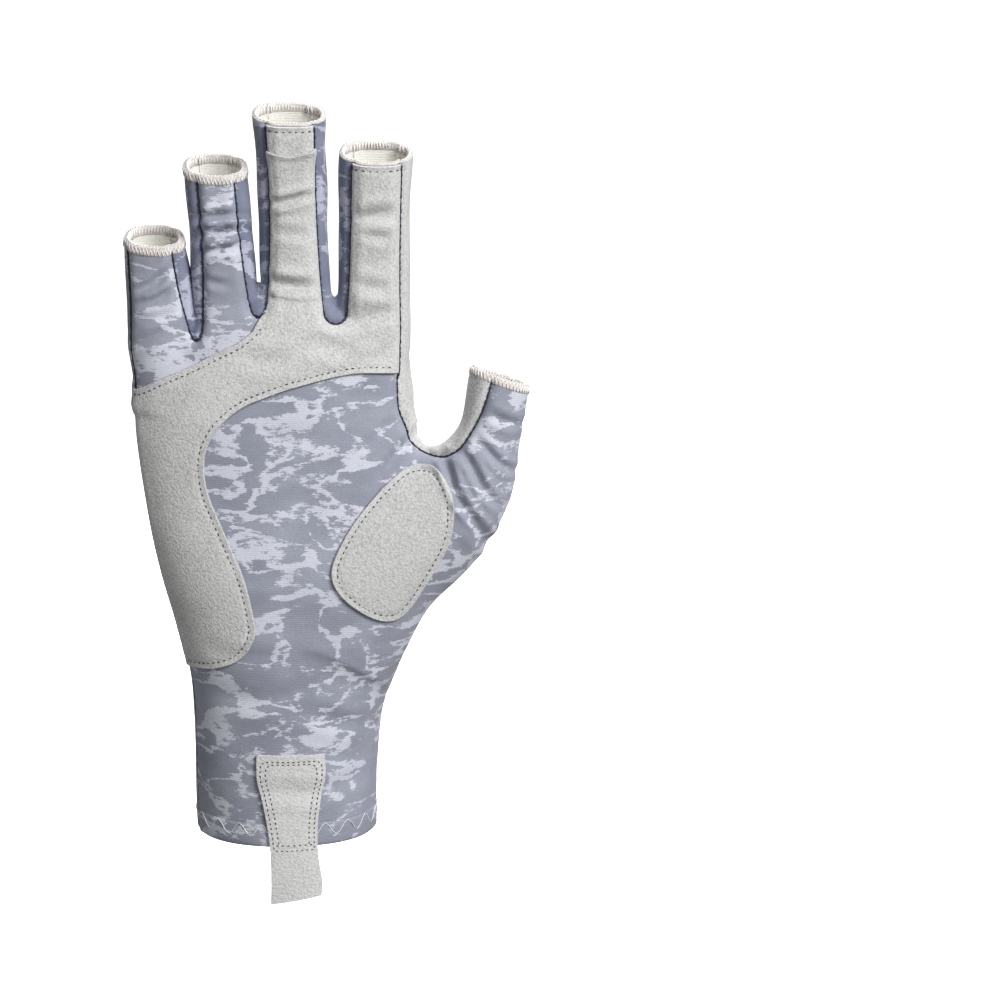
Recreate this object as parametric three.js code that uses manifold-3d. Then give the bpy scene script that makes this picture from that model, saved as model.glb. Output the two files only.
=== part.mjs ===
// A fingerless sun and fishing glove for the right hand, filled out as it is when worn.
// Millimetres. +Z runs to the fingertips, the palm faces -Y and the thumb points to +X.
// The origin is the middle of the wrist opening.

import * as THREE from 'three';
import { mergeVertices } from 'three/addons/utils/BufferGeometryUtils.js';
import Module from 'manifold-3d';

// Sizes of the hand that the glove fits
const handLength = 172; // wrist opening to the roots of the fingers
const palmWidth = 94;
const palmDepth = 30;
const wristWidth = 61.5;
const wristDepth = 47;
const rootArch = 10; // how far the finger roots rise towards the middle finger
const archMiddle = -0.02; // where they rise most, share of palmWidth
const archHalf = 0.29; // from there to where the rise has gone, share of palmWidth
const archFall = 2.2; // how far they fall at the edges of the hand, share of rootArch
const fingerLength = 71.5; // middle finger, root to the middle of its rim
const fingerWidth = 23.4;
const fingerDepth = 19.5;
const tubePower = 2.2; // how square the sections of the fingers and the thumb are, 2 is an ellipse
const fingerCurl = 9; // how far the middle fingertip leans to the palm side
const rootDrop = 24; // length of a finger's tube that lies inside the palm
const rimSlope = 0.4; // rise of a rim from its palm side to its back, for each mm of depth
const webHeight = 133.5; // lowest point of the web between index finger and thumb
const webReach = 49; // from the hand's middle line to that point
const thumbReach = 70.2; // from the hand's middle line to the middle of the thumb's rim
const thumbRise = webHeight + 25.8; // from the wrist opening to the middle of the thumb's rim
const thumbWidth = 19.8;
const thumbDepth = 19;

// Sizes of the cloth and the pieces
const clothWall = 1.2;
const suedeWall = 1;
const pieceGap = 0.3; // clearance between neighbouring pieces
const seamInset = 4; // from a finger's edge to the seam on its palm side
const backSeamInset = 2; // from the index finger's edge to the seam on its back
const toeSpread = 0.35; // half width of a gusset's foot, share of its width at its lowest seams
const toeLift = 1; // how far the corners of that foot lie above its lowest point
const cuffHemHeight = 8.5;
const tipHemHeight = 3.2;
const tabWidth = 19.5;
const tabRise = 32; // from the wrist opening to the top of the tab
const tabHang = 17; // from the wrist opening down to the free end of the tab
const slitDrop = 12; // from the middle of the rim to the slit of the middle finger
const slitSag = 2.4; // how far the slit's lip hangs down in the middle
const hemGrow = 0.2; // how far a hem stands out from the cloth

// Numbers of faces
const bodySides = 28;
const fingerSides = 14;
const webSides = 12;
const fingerPlaces = [-1, 0, 0.18, 0.3, 0.42, 0.52, 0.61, 0.7, 1]; // rings along a finger
const thumbPlaces = [0, 0.15, 0.3, 0.45, 0.6, 0.72, 0.86, 1]; // rings along the thumb
const overrun = 8; // how far cutting solids run past what they cut
const reach = 400; // size of a cutting solid where it only has to be large enough
const tipReach = 50; // the same for the cuts at the rims, which keep off the other fingers

// Palm and wrist. at: share of handLength. wrist: 1 where the shares are of the wrist's width and
// depth, 0 where they are of the palm's. arch: share of rootArch.
const bodySections = [
  { at: 0, wrist: 1, left: 0.502, right: 0.498, front: 0.5, back: 0.5, arch: 0, power: 2.1 },
  { at: 0.12, wrist: 1, left: 0.508, right: 0.497, front: 0.492, back: 0.49, arch: 0, power: 2.1 },
  { at: 0.24, wrist: 0.98, left: 0.512, right: 0.52, front: 0.49, back: 0.485, arch: 0, power: 2.1 },
  { at: 0.33, wrist: 0.8, left: 0.487, right: 0.535, front: 0.515, back: 0.49, arch: 0, power: 2.15 },
  { at: 0.43, wrist: 0.5, left: 0.478, right: 0.535, front: 0.575, back: 0.515, arch: 0, power: 2.2 },
  { at: 0.55, wrist: 0.2, left: 0.487, right: 0.525, front: 0.65, back: 0.535, arch: 0, power: 2.3 },
  { at: 0.67, wrist: 0, left: 0.498, right: 0.487, front: 0.625, back: 0.55, arch: 0, power: 2.4 },
  { at: 0.81, wrist: 0, left: 0.53, right: 0.466, front: 0.57, back: 0.5, arch: 0.1, power: 2.5 },
  { at: 0.9, wrist: 0, left: 0.536, right: 0.447, front: 0.52, back: 0.455, arch: 0.4, power: 2.5 },
  { at: 0.96, wrist: 0, left: 0.545, right: 0.445, front: 0.45, back: 0.4, arch: 0.8, power: 2.4 },
  { at: 1, wrist: 0, left: 0.54, right: 0.435, front: 0.34, back: 0.29, arch: 1, power: 2.2 },
  { at: 1.02, wrist: 0, left: 0.53, right: 0.42, front: 0.15, back: 0.13, arch: 1, power: 2 },
];

// Fingers. root, tip: share of palmWidth from the middle line. length: share of fingerLength.
// rootWidth, waist, tipWidth: shares of fingerWidth. depth: share of fingerDepth.
const fingers = {
  little: {
    root: -0.434, tip: -0.463, length: 0.435, rootWidth: 0.98, waist: 0.9, tipWidth: 0.815, depth: 0.9,
  },
  ring: {
    root: -0.207, tip: -0.25, length: 0.762, rootWidth: 0.93, waist: 0.885, tipWidth: 0.87, depth: 0.97,
  },
  middle: {
    root: 0.035, tip: 0.004, length: 1, rootWidth: 1.07, waist: 0.95, tipWidth: 1, depth: 1.02,
  },
  index: {
    root: 0.3, tip: 0.303, length: 0.835, rootWidth: 1.07, waist: 1.01, tipWidth: 1.01, depth: 1.03,
  },
};

// A finger along its length. at: share of its length above the root, or of rootDrop below it.
const fingerSections = [
  { at: -1, depth: 1.4, waist: 0 },
  { at: -0.5, depth: 1.3, waist: 0 },
  { at: 0, depth: 1.14, waist: 0.1 },
  { at: 0.3, depth: 1.02, waist: 0.75 },
  { at: 0.6, depth: 0.97, waist: 1 },
  { at: 1, depth: 0.98, waist: 1 },
];

// Creases across the fronts of the fingers. at: share of the finger's length. width: half its width,
// a share of fingerWidth. depth: share of fingerWidth. lean: rise across the finger, share of its width.
const creases = [
  { finger: 'little', at: 0.52, width: 0.16, depth: 0.05, lean: -0.5 },
  { finger: 'ring', at: 0.6, width: 0.2, depth: 0.075, lean: 0.15 },
  { finger: 'middle', at: 0.25, width: 0.2, depth: 0.04, lean: 0.1 },
  { finger: 'index', at: 0.62, width: 0.18, depth: 0.05, lean: -0.1 },
  { finger: 'index', at: 0.3, width: 0.18, depth: 0.04, lean: 0.12 },
];

// Thumb. x: share of thumbReach. z: share of thumbRise. forward: share of thumbDepth. lean: degrees.
const thumbSections = [
  { at: 0, x: 0.27, z: 0.42, forward: 0.25, width: 1.7, depth: 1.5, lean: 34 },
  { at: 0.2, x: 0.41, z: 0.556, forward: 0.3, width: 2.05, depth: 1.72, lean: 36 },
  { at: 0.45, x: 0.67, z: 0.673, forward: 0.39, width: 1.97, depth: 1.58, lean: 38 },
  { at: 0.7, x: 0.857, z: 0.771, forward: 0.48, width: 1.5, depth: 1.3, lean: 22 },
  { at: 0.87, x: 0.952, z: 0.882, forward: 0.57, width: 1.05, depth: 1.08, lean: 11 },
  { at: 1, x: 1, z: 1, forward: 0.63, width: 1, depth: 1, lean: 18.5 },
];

// Web between index finger and thumb, from hand to thumb. x: share of webReach. top: share of
// webHeight. forward, height, depth: shares of thumbDepth.
const webSections = [
  { at: 0, x: 0.72, top: 1.02, forward: 0.12, height: 1.9, depth: 1.1 },
  { at: 0.5, x: 1, top: 1, forward: 0.3, height: 1.6, depth: 0.82 },
  { at: 1, x: 1.27, top: 1.03, forward: 0.48, height: 1.4, depth: 0.85 },
];

// Cloth between two fingers. floor: height of its lowest point above the roots, share of fingerLength.
const gussets = [
  { name: 'gusset_little_ring', left: 'little', right: 'ring', floor: -0.035 },
  { name: 'gusset_ring_middle', left: 'ring', right: 'middle', floor: 0.08 },
  { name: 'gusset_middle_index', left: 'middle', right: 'index', floor: 0.05 },
];

// Border of the web strip beside the web's lowest point. x, z: shares of thumbWidth from that point.
const stripFront = [
  { x: -0.63, z: 0.85 },
  { x: -0.5, z: 0.45 },
  { x: -0.34, z: 0.08 },
  { x: 0, z: -0.12 },
  { x: 0.3, z: -0.02 },
];
const stripBack = [
  { x: -0.45, z: 0.9 },
  { x: -0.37, z: 0.3 },
  { x: -0.27, z: -0.35 },
  { x: -0.1, z: -0.52 },
  { x: 0.14, z: -0.56 },
  { x: 0.46, z: -0.48 },
];
// The same border on the thumb. at: place along the thumb. across: share of its half width.
const stripFrontThumb = [
  { at: 0.87, across: -0.45 },
  { at: 0.93, across: -0.2 },
  { at: 1, across: -0.07 },
];
const stripBackThumb = [
  { at: 0.8, across: 0.08 },
  { at: 0.88, across: 0.26 },
  { at: 0.94, across: 0.42 },
  { at: 1, across: 0.62 },
];

// Edges of the suede grip on the palm. x: share of palmWidth. z: share of handLength.
const patchTop = [
  { x: -0.52, z: 0.89 },
  { x: -0.434, z: 0.915 },
  { x: -0.337, z: 0.938 },
  { x: -0.24, z: 0.967 },
  { x: -0.17, z: 0.986 },
  { x: -0.12, z: 1.007 },
];
const patchBottom = [
  { x: 0.382, z: 0.93 },
  { x: 0.218, z: 0.93 },
  { x: 0.031, z: 0.906 },
  { x: -0.08, z: 0.885 },
  { x: -0.17, z: 0.862 },
  { x: -0.246, z: 0.823 },
  { x: -0.29, z: 0.77 },
  { x: -0.278, z: 0.698 },
  { x: -0.203, z: 0.6 },
  { x: -0.154, z: 0.535 },
  { x: -0.116, z: 0.445 },
  { x: -0.131, z: 0.407 },
  { x: -0.173, z: 0.377 },
  { x: -0.25, z: 0.358 },
  { x: -0.34, z: 0.35 },
  { x: -0.45, z: 0.345 },
];

// Edge of the pad on the ball of the thumb. x: share of palmWidth. z: share of handLength.
const padEdge = [
  { x: 0.488, z: 0.769 },
  { x: 0.541, z: 0.757 },
  { x: 0.58, z: 0.7 },
  { x: 0.566, z: 0.61 },
  { x: 0.486, z: 0.53 },
  { x: 0.4, z: 0.464 },
  { x: 0.31, z: 0.46 },
  { x: 0.2, z: 0.5 },
  { x: 0.154, z: 0.55 },
  { x: 0.2, z: 0.615 },
  { x: 0.286, z: 0.685 },
  { x: 0.4, z: 0.752 },
];

// Pull tab, half its width as a share of tabWidth, from the top down. drop: share of its whole length.
const tabEdge = [
  { drop: 0, half: 0.58 },
  { drop: 0.08, half: 0.6 },
  { drop: 0.22, half: 0.58 },
  { drop: 0.36, half: 0.5 },
  { drop: 0.5, half: 0.43 },
  { drop: 0.84, half: 0.41 },
  { drop: 1, half: 0.45 },
];
const tabMiddle = 0.02; // share of wristWidth

const wasm = await Module();
wasm.setup();

// Smooth value of one column of a table between its rows
function columnAt(rows, column, at) {
  const last = rows.length - 1;
  let low = 0;
  while (low < last - 1 && at > rows[low + 1].at) low += 1;
  const slope = (index) => {
    const before = rows[Math.max(index - 1, 0)];
    const after = rows[Math.min(index + 1, last)];
    return (after[column] - before[column]) / (after.at - before.at);
  };
  const span = rows[low + 1].at - rows[low].at;
  const t = (at - rows[low].at) / span;
  const start = rows[low][column];
  const end = rows[low + 1][column];
  const ease = t * t * (3 - 2 * t);
  return start + (end - start) * ease
    + span * t * (1 - t) * ((1 - t) * slope(low) - t * slope(low + 1));
}

// Point of a rounded section, from -1 to 1 both ways. A power of 2 is an ellipse.
function roundedPoint(turn, power) {
  const across = Math.cos(turn);
  const along = Math.sin(turn);
  return [
    Math.sign(across) * Math.abs(across) ** (2 / power),
    Math.sign(along) * Math.abs(along) ** (2 / power),
  ];
}

// Solid from rings of points, each with the same even number of points. Each end is closed by
// strips from a point to the one that faces it across the ring.
function solidFromRings(rings) {
  const sides = rings[0].length;
  const points = rings.flat();
  const triangles = [];
  for (let ring = 0; ring + 1 < rings.length; ring += 1) {
    for (let side = 0; side < sides; side += 1) {
      const a = ring * sides + side;
      const b = ring * sides + ((side + 1) % sides);
      triangles.push(a, b, b + sides, a, b + sides, a + sides);
    }
  }
  for (const [start, outward] of [[0, false], [(rings.length - 1) * sides, true]]) {
    for (let side = 0; side < sides / 2; side += 1) {
      const a = start + side;
      const b = start + side + 1;
      const c = start + sides - side - 1;
      const d = start + ((sides - side) % sides);
      if (c !== b) triangles.push(...(outward ? [a, b, c] : [b, a, c]));
      if (d !== a) triangles.push(...(outward ? [a, c, d] : [c, a, d]));
    }
  }
  return new wasm.Manifold(new wasm.Mesh({
    numProp: 3,
    vertProperties: new Float32Array(points.flatMap((point) => [point.x, point.y, point.z])),
    triVerts: new Uint32Array(triangles),
  }));
}

// Solid from a three.js geometry
function solidFrom(geometry) {
  geometry.deleteAttribute('normal');
  geometry.deleteAttribute('uv');
  const merged = mergeVertices(geometry);
  return new wasm.Manifold(new wasm.Mesh({
    numProp: 3,
    vertProperties: new Float32Array(merged.attributes.position.array),
    triVerts: new Uint32Array(merged.index.array),
  }));
}

// An outline of x and z, run through from front to back
function throughDepth(outline) {
  const shape = new THREE.Shape(outline);
  const geometry = new THREE.ExtrudeGeometry(shape, { depth: reach, bevelEnabled: false });
  geometry.rotateX(Math.PI / 2);
  geometry.translate(0, reach / 2, 0);
  return solidFrom(geometry);
}

// An outline of y and z, run through from xStart to xEnd
function throughWidth(outline, xStart, xEnd) {
  const shape = new THREE.Shape(outline);
  const geometry = new THREE.ExtrudeGeometry(shape, { depth: xEnd - xStart, bevelEnabled: false });
  geometry.applyMatrix4(new THREE.Matrix4().makeBasis(
    new THREE.Vector3(0, 1, 0),
    new THREE.Vector3(0, 0, 1),
    new THREE.Vector3(1, 0, 0),
  ));
  geometry.translate(xStart, 0, 0);
  return solidFrom(geometry);
}

// Middle of the hand's depth at a height: the fingers lean to the palm side
function middleDepth(z) {
  const start = handLength - rootDrop / 2;
  const share = Math.max(0, z - start) / (fingerLength + rootDrop / 2);
  return -fingerCurl * share * share;
}

// Palm and wrist, grown outwards by grow
function bodySolid(grow, longer) {
  const rings = bodySections.map((row) => {
    const width = palmWidth + (wristWidth - palmWidth) * row.wrist;
    const depth = palmDepth + (wristDepth - palmDepth) * row.wrist;
    return Array.from({ length: bodySides }, (_, side) => {
      const [across, along] = roundedPoint((side / bodySides) * 2 * Math.PI, row.power);
      const x = across * ((across > 0 ? row.right : row.left) * width + grow);
      const y = along * ((along > 0 ? row.back : row.front) * depth + grow);
      const fromPeak = (x / palmWidth - archMiddle) / archHalf;
      const rise = row.arch * rootArch * Math.max(1 - fromPeak * fromPeak, -archFall);
      return new THREE.Vector3(x, y, row.at * handLength + rise + (row.at > 1 ? grow : 0));
    });
  });
  if (longer > 0) {
    rings.unshift(rings[0].map((point) => new THREE.Vector3(point.x, point.y, -longer)));
  }
  return solidFromRings(rings);
}

// Middle, half width and half depth of a finger at a place along it
function fingerAt(finger, at) {
  const height = handLength + (at < 0 ? at * rootDrop : at * finger.length * fingerLength);
  const waist = columnAt(fingerSections, 'waist', at);
  const tipShare = Math.max(0, at) ** 3;
  const width = finger.rootWidth + (finger.waist - finger.rootWidth) * waist
    + (finger.tipWidth - finger.waist) * tipShare;
  return {
    x: palmWidth * (finger.root + (finger.tip - finger.root) * Math.max(0, at)),
    y: middleDepth(height),
    z: height,
    halfWidth: (width * fingerWidth) / 2,
    halfDepth: (columnAt(fingerSections, 'depth', at) * finger.depth * fingerDepth) / 2,
  };
}

// How far the creases draw in the front of a finger at a point
function creaseDepth(name, place, across, rise) {
  let sum = 0;
  for (const crease of creases) {
    if (crease.finger !== name) continue;
    const middle = handLength + crease.at * fingers[name].length * fingerLength;
    const off = (rise - middle - crease.lean * across * place.halfWidth) / (crease.width * fingerWidth);
    sum += crease.depth * fingerWidth * Math.exp(-off * off);
  }
  return sum;
}

// One finger's tube, grown by grow and longer at its open end
function fingerSolid(name, grow, longer) {
  const finger = fingers[name];
  const rings = fingerPlaces.map((at) => {
    const place = fingerAt(finger, at);
    const slope = rimSlope * Math.max(0, at);
    return Array.from({ length: fingerSides }, (_, side) => {
      const [across, along] = roundedPoint((side / fingerSides) * 2 * Math.PI, tubePower);
      const crease = along < 0 ? creaseDepth(name, place, across, place.z) * -along : 0;
      const x = across * (place.halfWidth + grow);
      const y = along * (place.halfDepth + grow - crease);
      return new THREE.Vector3(place.x + x, place.y + y, place.z + slope * y);
    });
  });
  if (longer > 0) {
    rings.push(rings.at(-1).map((point) => point.clone().add(new THREE.Vector3(0, 0, longer))));
  }
  return solidFromRings(rings);
}

// Middle, directions and half sizes of the thumb at a place along it
function thumbAt(at) {
  const lean = THREE.MathUtils.degToRad(columnAt(thumbSections, 'lean', at));
  return {
    middle: new THREE.Vector3(
      columnAt(thumbSections, 'x', at) * thumbReach,
      -columnAt(thumbSections, 'forward', at) * thumbDepth,
      columnAt(thumbSections, 'z', at) * thumbRise,
    ),
    across: new THREE.Vector3(Math.cos(lean), 0, -Math.sin(lean)),
    along: new THREE.Vector3(Math.sin(lean), 0, Math.cos(lean)),
    halfWidth: (columnAt(thumbSections, 'width', at) * thumbWidth) / 2,
    halfDepth: (columnAt(thumbSections, 'depth', at) * thumbDepth) / 2,
  };
}

// The thumb's tube, grown by grow and longer at its open end
function thumbSolid(grow, longer) {
  const rings = thumbPlaces.map((at) => {
    const place = thumbAt(at);
    return Array.from({ length: fingerSides }, (_, side) => {
      const [across, along] = roundedPoint((side / fingerSides) * 2 * Math.PI, tubePower);
      return place.middle.clone()
        .addScaledVector(place.across, across * (place.halfWidth + grow))
        .add(new THREE.Vector3(0, along * (place.halfDepth + grow), 0));
    });
  });
  if (longer > 0) {
    const onward = thumbAt(1).along.multiplyScalar(longer);
    rings.push(rings.at(-1).map((point) => point.clone().add(onward)));
  }
  return solidFromRings(rings);
}

// The web between index finger and thumb, grown by grow
function webSolid(grow) {
  const rings = webSections.map((row) => {
    const halfHeight = (row.height * thumbDepth) / 2;
    const middle = row.top * webHeight - halfHeight;
    return Array.from({ length: webSides }, (_, side) => {
      const turn = (side / webSides) * 2 * Math.PI;
      return new THREE.Vector3(
        row.x * webReach,
        -row.forward * thumbDepth + Math.cos(turn) * ((row.depth * thumbDepth) / 2 + grow),
        middle + Math.sin(turn) * (halfHeight + grow),
      );
    });
  });
  return solidFromRings(rings);
}

const fingerNames = Object.keys(fingers);

// The whole hand form, grown by grow, and longer past its openings
function handSolid(grow, longer = 0) {
  let hand = bodySolid(grow, longer).add(thumbSolid(grow, longer)).add(webSolid(grow));
  for (const name of fingerNames) hand = hand.add(fingerSolid(name, grow, longer));
  return hand;
}

// Everything of a finger above a plane that lies drop below its rim, held to that finger's side
function aboveRim(name, drop) {
  const rim = fingerAt(fingers[name], 1);
  const low = rim.z - drop;
  const outline = [
    new THREE.Vector2(rim.y - tipReach, low - rimSlope * tipReach),
    new THREE.Vector2(rim.y + tipReach, low + rimSlope * tipReach),
    new THREE.Vector2(rim.y + tipReach, low + tipReach * 2),
    new THREE.Vector2(rim.y - tipReach, low + tipReach * 2),
  ];
  const spread = rim.halfWidth + seamInset / 2;
  return throughWidth(outline, rim.x - spread, rim.x + spread);
}

// Everything of the thumb past a plane that lies drop below its rim
function aboveThumbRim(drop) {
  const rim = thumbAt(1);
  const box = new THREE.BoxGeometry(rim.halfWidth * 4, tipReach * 2, tipReach);
  box.translate(0, 0, tipReach / 2 - drop);
  box.rotateY(Math.atan2(rim.along.x, rim.along.z));
  box.translate(rim.middle.x, rim.middle.y, rim.middle.z);
  return solidFrom(box);
}

// All the finger ends, for cutting the panels at their hems
function allTips(drop) {
  let tips = aboveThumbRim(drop);
  for (const name of fingerNames) tips = tips.add(aboveRim(name, drop));
  return tips;
}

// Everything below a height
function belowHeight(height) {
  const box = new THREE.BoxGeometry(reach, reach, reach);
  box.translate(0, 0, height - reach / 2);
  return solidFrom(box);
}

// Points of a seam along one edge of a finger, from the height floor to past the tip
function fingerSeam(name, side, inset, floor) {
  const finger = fingers[name];
  const steps = 6;
  const start = Math.max(0, (floor - handLength) / (finger.length * fingerLength));
  return Array.from({ length: steps + 1 }, (_, step) => {
    const place = fingerAt(finger, start + ((1 - start) * step) / steps);
    const beyond = step === steps ? overrun * 2 : 0;
    return new THREE.Vector2(place.x + side * (place.halfWidth - inset), place.z + beyond);
  });
}

// The region of the cloth between two fingers, widened by clearance
function gussetRegion(row, clearance) {
  const floor = handLength + row.floor * fingerLength;
  const left = fingerSeam(row.left, 1, seamInset + clearance, floor + seamInset);
  const right = fingerSeam(row.right, -1, seamInset + clearance, floor + seamInset);
  const toe = new THREE.Vector2((left[0].x + right[0].x) / 2, floor - clearance);
  const spread = (right[0].x - left[0].x) * toeSpread;
  return throughDepth([
    ...left.reverse(),
    new THREE.Vector2(toe.x - spread, toe.y + toeLift),
    toe,
    new THREE.Vector2(toe.x + spread, toe.y + toeLift),
    ...right,
  ]);
}

function allGussets(clearance) {
  return gussets.map((row) => gussetRegion(row, clearance)).reduce((all, one) => all.add(one));
}

// Depth of the seam between front and back: it follows the middle of the hand, and past the index
// finger it runs over to the middle of the thumb
function seamDepth(x, z) {
  const root = fingerAt(fingers.index, 0);
  const aside = THREE.MathUtils.smoothstep(x, root.x + root.halfWidth, webReach + seamInset * 2);
  const steps = 10;
  let thumb = thumbAt(0.2).middle;
  const rise = (z - thumb.z) / (thumbDepth / 2);
  for (let step = 1; step <= steps; step += 1) {
    const next = thumbAt(0.2 + (0.8 * step) / steps).middle;
    if (next.z <= z) thumb = next;
  }
  const own = thumb.y * THREE.MathUtils.clamp(rise, 0, 1);
  return middleDepth(z) + (own - middleDepth(z)) * aside;
}

// Everything in front of that seam, moved back by offset
function inFrontOfSeam(offset) {
  const tip = fingerAt(fingers.middle, 1).z + overrun;
  const root = fingerAt(fingers.index, 0);
  const edge = root.x + root.halfWidth;
  const columns = [-reach / 2, 0, edge, ...[0.25, 0.5, 0.75, 1].map(
    (share) => edge + (webReach + seamInset * 2 - edge) * share,
  ), reach / 2];
  const levels = [-reach / 2, 0];
  for (let level = thumbAt(0.2).middle.z; level < tip; level += fingerDepth / 2) levels.push(level);
  levels.push(tip + tipReach);
  return solidFromRings(levels.map((z) => {
    const ahead = columns.map((x) => new THREE.Vector3(x, -reach / 2, z));
    const seam = columns.map((x) => new THREE.Vector3(x, seamDepth(x, Math.min(z, tip)) + offset, z));
    return [...ahead, ...seam.reverse()];
  }));
}

// Everything behind that seam, moved back by offset
function behindSeam(offset) {
  return solidFrom(new THREE.BoxGeometry(reach, reach, reach * 2)).subtract(inFrontOfSeam(offset));
}

// The region of the strip round the web on one side of the hand, widened by clearance
function stripRegion(rows, thumbRows, inset, clearance) {
  const seam = fingerSeam('index', 1, inset + clearance, handLength).reverse();
  const web = rows.map((row) => new THREE.Vector2(
    webReach + row.x * thumbWidth,
    webHeight + row.z * thumbWidth - clearance,
  ));
  const thumb = thumbRows.map((row) => {
    const place = thumbAt(row.at);
    const aside = row.across * place.halfWidth + clearance;
    return new THREE.Vector2(
      place.middle.x + place.across.x * aside,
      place.middle.z + place.across.z * aside,
    );
  });
  const last = thumb.at(-1);
  const onward = thumbAt(1).along;
  const border = new THREE.SplineCurve([seam.at(-1), ...web, ...thumb]);
  return throughDepth([
    ...seam,
    ...border.getPoints(24).slice(1),
    new THREE.Vector2(last.x + onward.x * overrun * 3, last.y + onward.z * overrun * 3),
    new THREE.Vector2(last.x, seam[0].y + tipReach),
    new THREE.Vector2(seam[0].x, seam[0].y + tipReach),
  ]);
}

const frontHalf = inFrontOfSeam(-pieceGap / 2);
const backHalf = behindSeam(pieceGap / 2);

// The strip round the web crosses the seam between front and back, so where its two regions agree
// it also fills the gap between the halves
function stripSolid() {
  const front = stripRegion(stripFront, stripFrontThumb, seamInset, 0);
  const back = stripRegion(stripBack, stripBackThumb, backSeamInset, 0);
  return front.intersect(frontHalf).add(back.intersect(backHalf)).add(front.intersect(back));
}

// What the panels leave free for the strip
function stripClearance() {
  const front = stripRegion(stripFront, stripFrontThumb, seamInset, pieceGap);
  const back = stripRegion(stripBack, stripBackThumb, backSeamInset, pieceGap);
  return front.intersect(inFrontOfSeam(0)).add(back.intersect(behindSeam(0)));
}

const hollow = handSolid(-clothWall, overrun);
const shell = handSolid(0).subtract(hollow);
const tipCut = allTips(tipHemHeight + pieceGap);
const cuffCut = belowHeight(cuffHemHeight + pieceGap);
const cloth = shell.subtract(tipCut).subtract(cuffCut);
const gussetCut = allGussets(pieceGap);
const stripCut = stripClearance();

// Point of the hand's front from shares of palmWidth and handLength
const handPoint = (row) => new THREE.Vector2(row.x * palmWidth, row.z * handLength);

// A layer on the front of the hand, level piece walls above the cloth, inside an outline
function frontLayer(outline, wall) {
  const layer = handSolid(pieceGap + wall).subtract(handSolid(pieceGap));
  return layer.intersect(throughDepth(outline)).intersect(frontHalf);
}

// Lower edge of the slit across the middle finger, from left to right, moved up by offset
function slitEdge(left, right, offset) {
  const slit = fingerAt(fingers.middle, 1).z - slitDrop + offset;
  return [
    new THREE.Vector2(left, slit),
    new THREE.Vector2((left + right) / 2, slit - slitSag),
    new THREE.Vector2(right, slit + slitSag / 2),
  ];
}

function palmPatch() {
  const top = new THREE.SplineCurve(patchTop.map(handPoint)).getPoints(10);
  const bottom = new THREE.SplineCurve(patchBottom.map(handPoint)).getPoints(30);
  const inset = seamInset + pieceGap;
  const middleFloor = handLength + gussets[1].floor * fingerLength;
  const indexFloor = handLength + gussets[2].floor * fingerLength;
  const slit = fingerAt(fingers.middle, 1).z - slitDrop;
  const upTo = (point) => point.y < slit;
  const middleLeft = fingerSeam('middle', -1, inset, middleFloor + seamInset).filter(upTo);
  const middleRight = fingerSeam('middle', 1, inset, indexFloor + seamInset).filter(upTo);
  const indexLeft = fingerSeam('index', -1, inset, indexFloor + seamInset);
  const indexRight = fingerSeam('index', 1, inset, handLength);
  const side = new THREE.Vector2(-palmWidth, patchBottom.at(-1).z * handLength);
  return frontLayer([
    ...top,
    ...middleLeft,
    ...slitEdge(middleLeft.at(-1).x, middleRight.at(-1).x, 0),
    ...middleRight.reverse(),
    new THREE.Vector2((middleRight.at(-1).x + indexLeft[0].x) / 2, indexFloor - pieceGap * 2),
    ...indexLeft,
    ...indexRight.reverse(),
    ...bottom,
    side,
    new THREE.Vector2(-palmWidth, patchTop[0].z * handLength),
  ], suedeWall).subtract(tipCut);
}

function middleTipBand() {
  const rim = fingerAt(fingers.middle, 1);
  const half = rim.halfWidth - seamInset - pieceGap;
  return frontLayer([
    ...slitEdge(rim.x - half, rim.x + half, pieceGap * 2),
    new THREE.Vector2(rim.x + half, rim.z + overrun),
    new THREE.Vector2(rim.x - half, rim.z + overrun),
  ], suedeWall).subtract(tipCut);
}

function thumbPad() {
  const edge = new THREE.CatmullRomCurve3(padEdge.map((row) => {
    const point = handPoint(row);
    return new THREE.Vector3(point.x, point.y, 0);
  }), true);
  const outline = edge.getPoints(28).slice(1).map((point) => new THREE.Vector2(point.x, point.y));
  return frontLayer(outline, suedeWall);
}

// The tab lies on the cuff and hangs free below it
function pullTab() {
  const middle = tabMiddle * wristWidth;
  const rows = [];
  for (const side of [-1, 1]) {
    const edge = tabEdge.map((row) => new THREE.Vector2(
      middle + side * row.half * tabWidth,
      tabRise - row.drop * (tabRise + tabHang),
    ));
    rows.push(side < 0 ? edge : edge.reverse());
  }
  const clear = hemGrow + pieceGap;
  return bodySolid(clear + suedeWall, tabHang + overrun)
    .subtract(bodySolid(clear, tabHang + overrun * 2))
    .intersect(throughDepth(rows.flat()))
    .intersect(frontHalf);
}

// The turned hem of the cuff is two walls of cloth thick
function cuffHem() {
  return bodySolid(hemGrow, 0)
    .subtract(bodySolid(hemGrow - clothWall * 2, overrun))
    .intersect(belowHeight(cuffHemHeight));
}

// The bound edge of one opening
function tipHem(name) {
  const wall = clothWall * 1.4;
  if (name === 'thumb') {
    return thumbSolid(hemGrow, 0)
      .subtract(thumbSolid(hemGrow - wall, overrun))
      .intersect(aboveThumbRim(tipHemHeight));
  }
  return fingerSolid(name, hemGrow, 0)
    .subtract(fingerSolid(name, hemGrow - wall, overrun))
    .intersect(aboveRim(name, tipHemHeight));
}

const finishes = {
  knit: { color: '#a2a4af', roughness: 0.9, metalness: 0 },
  gusset: { color: '#7d8093', roughness: 0.9, metalness: 0 },
  suede: { color: '#c7c9c3', roughness: 0.95, metalness: 0 },
  hem: { color: '#dedad4', roughness: 0.9, metalness: 0 },
};

const glove = new THREE.Group();

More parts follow.
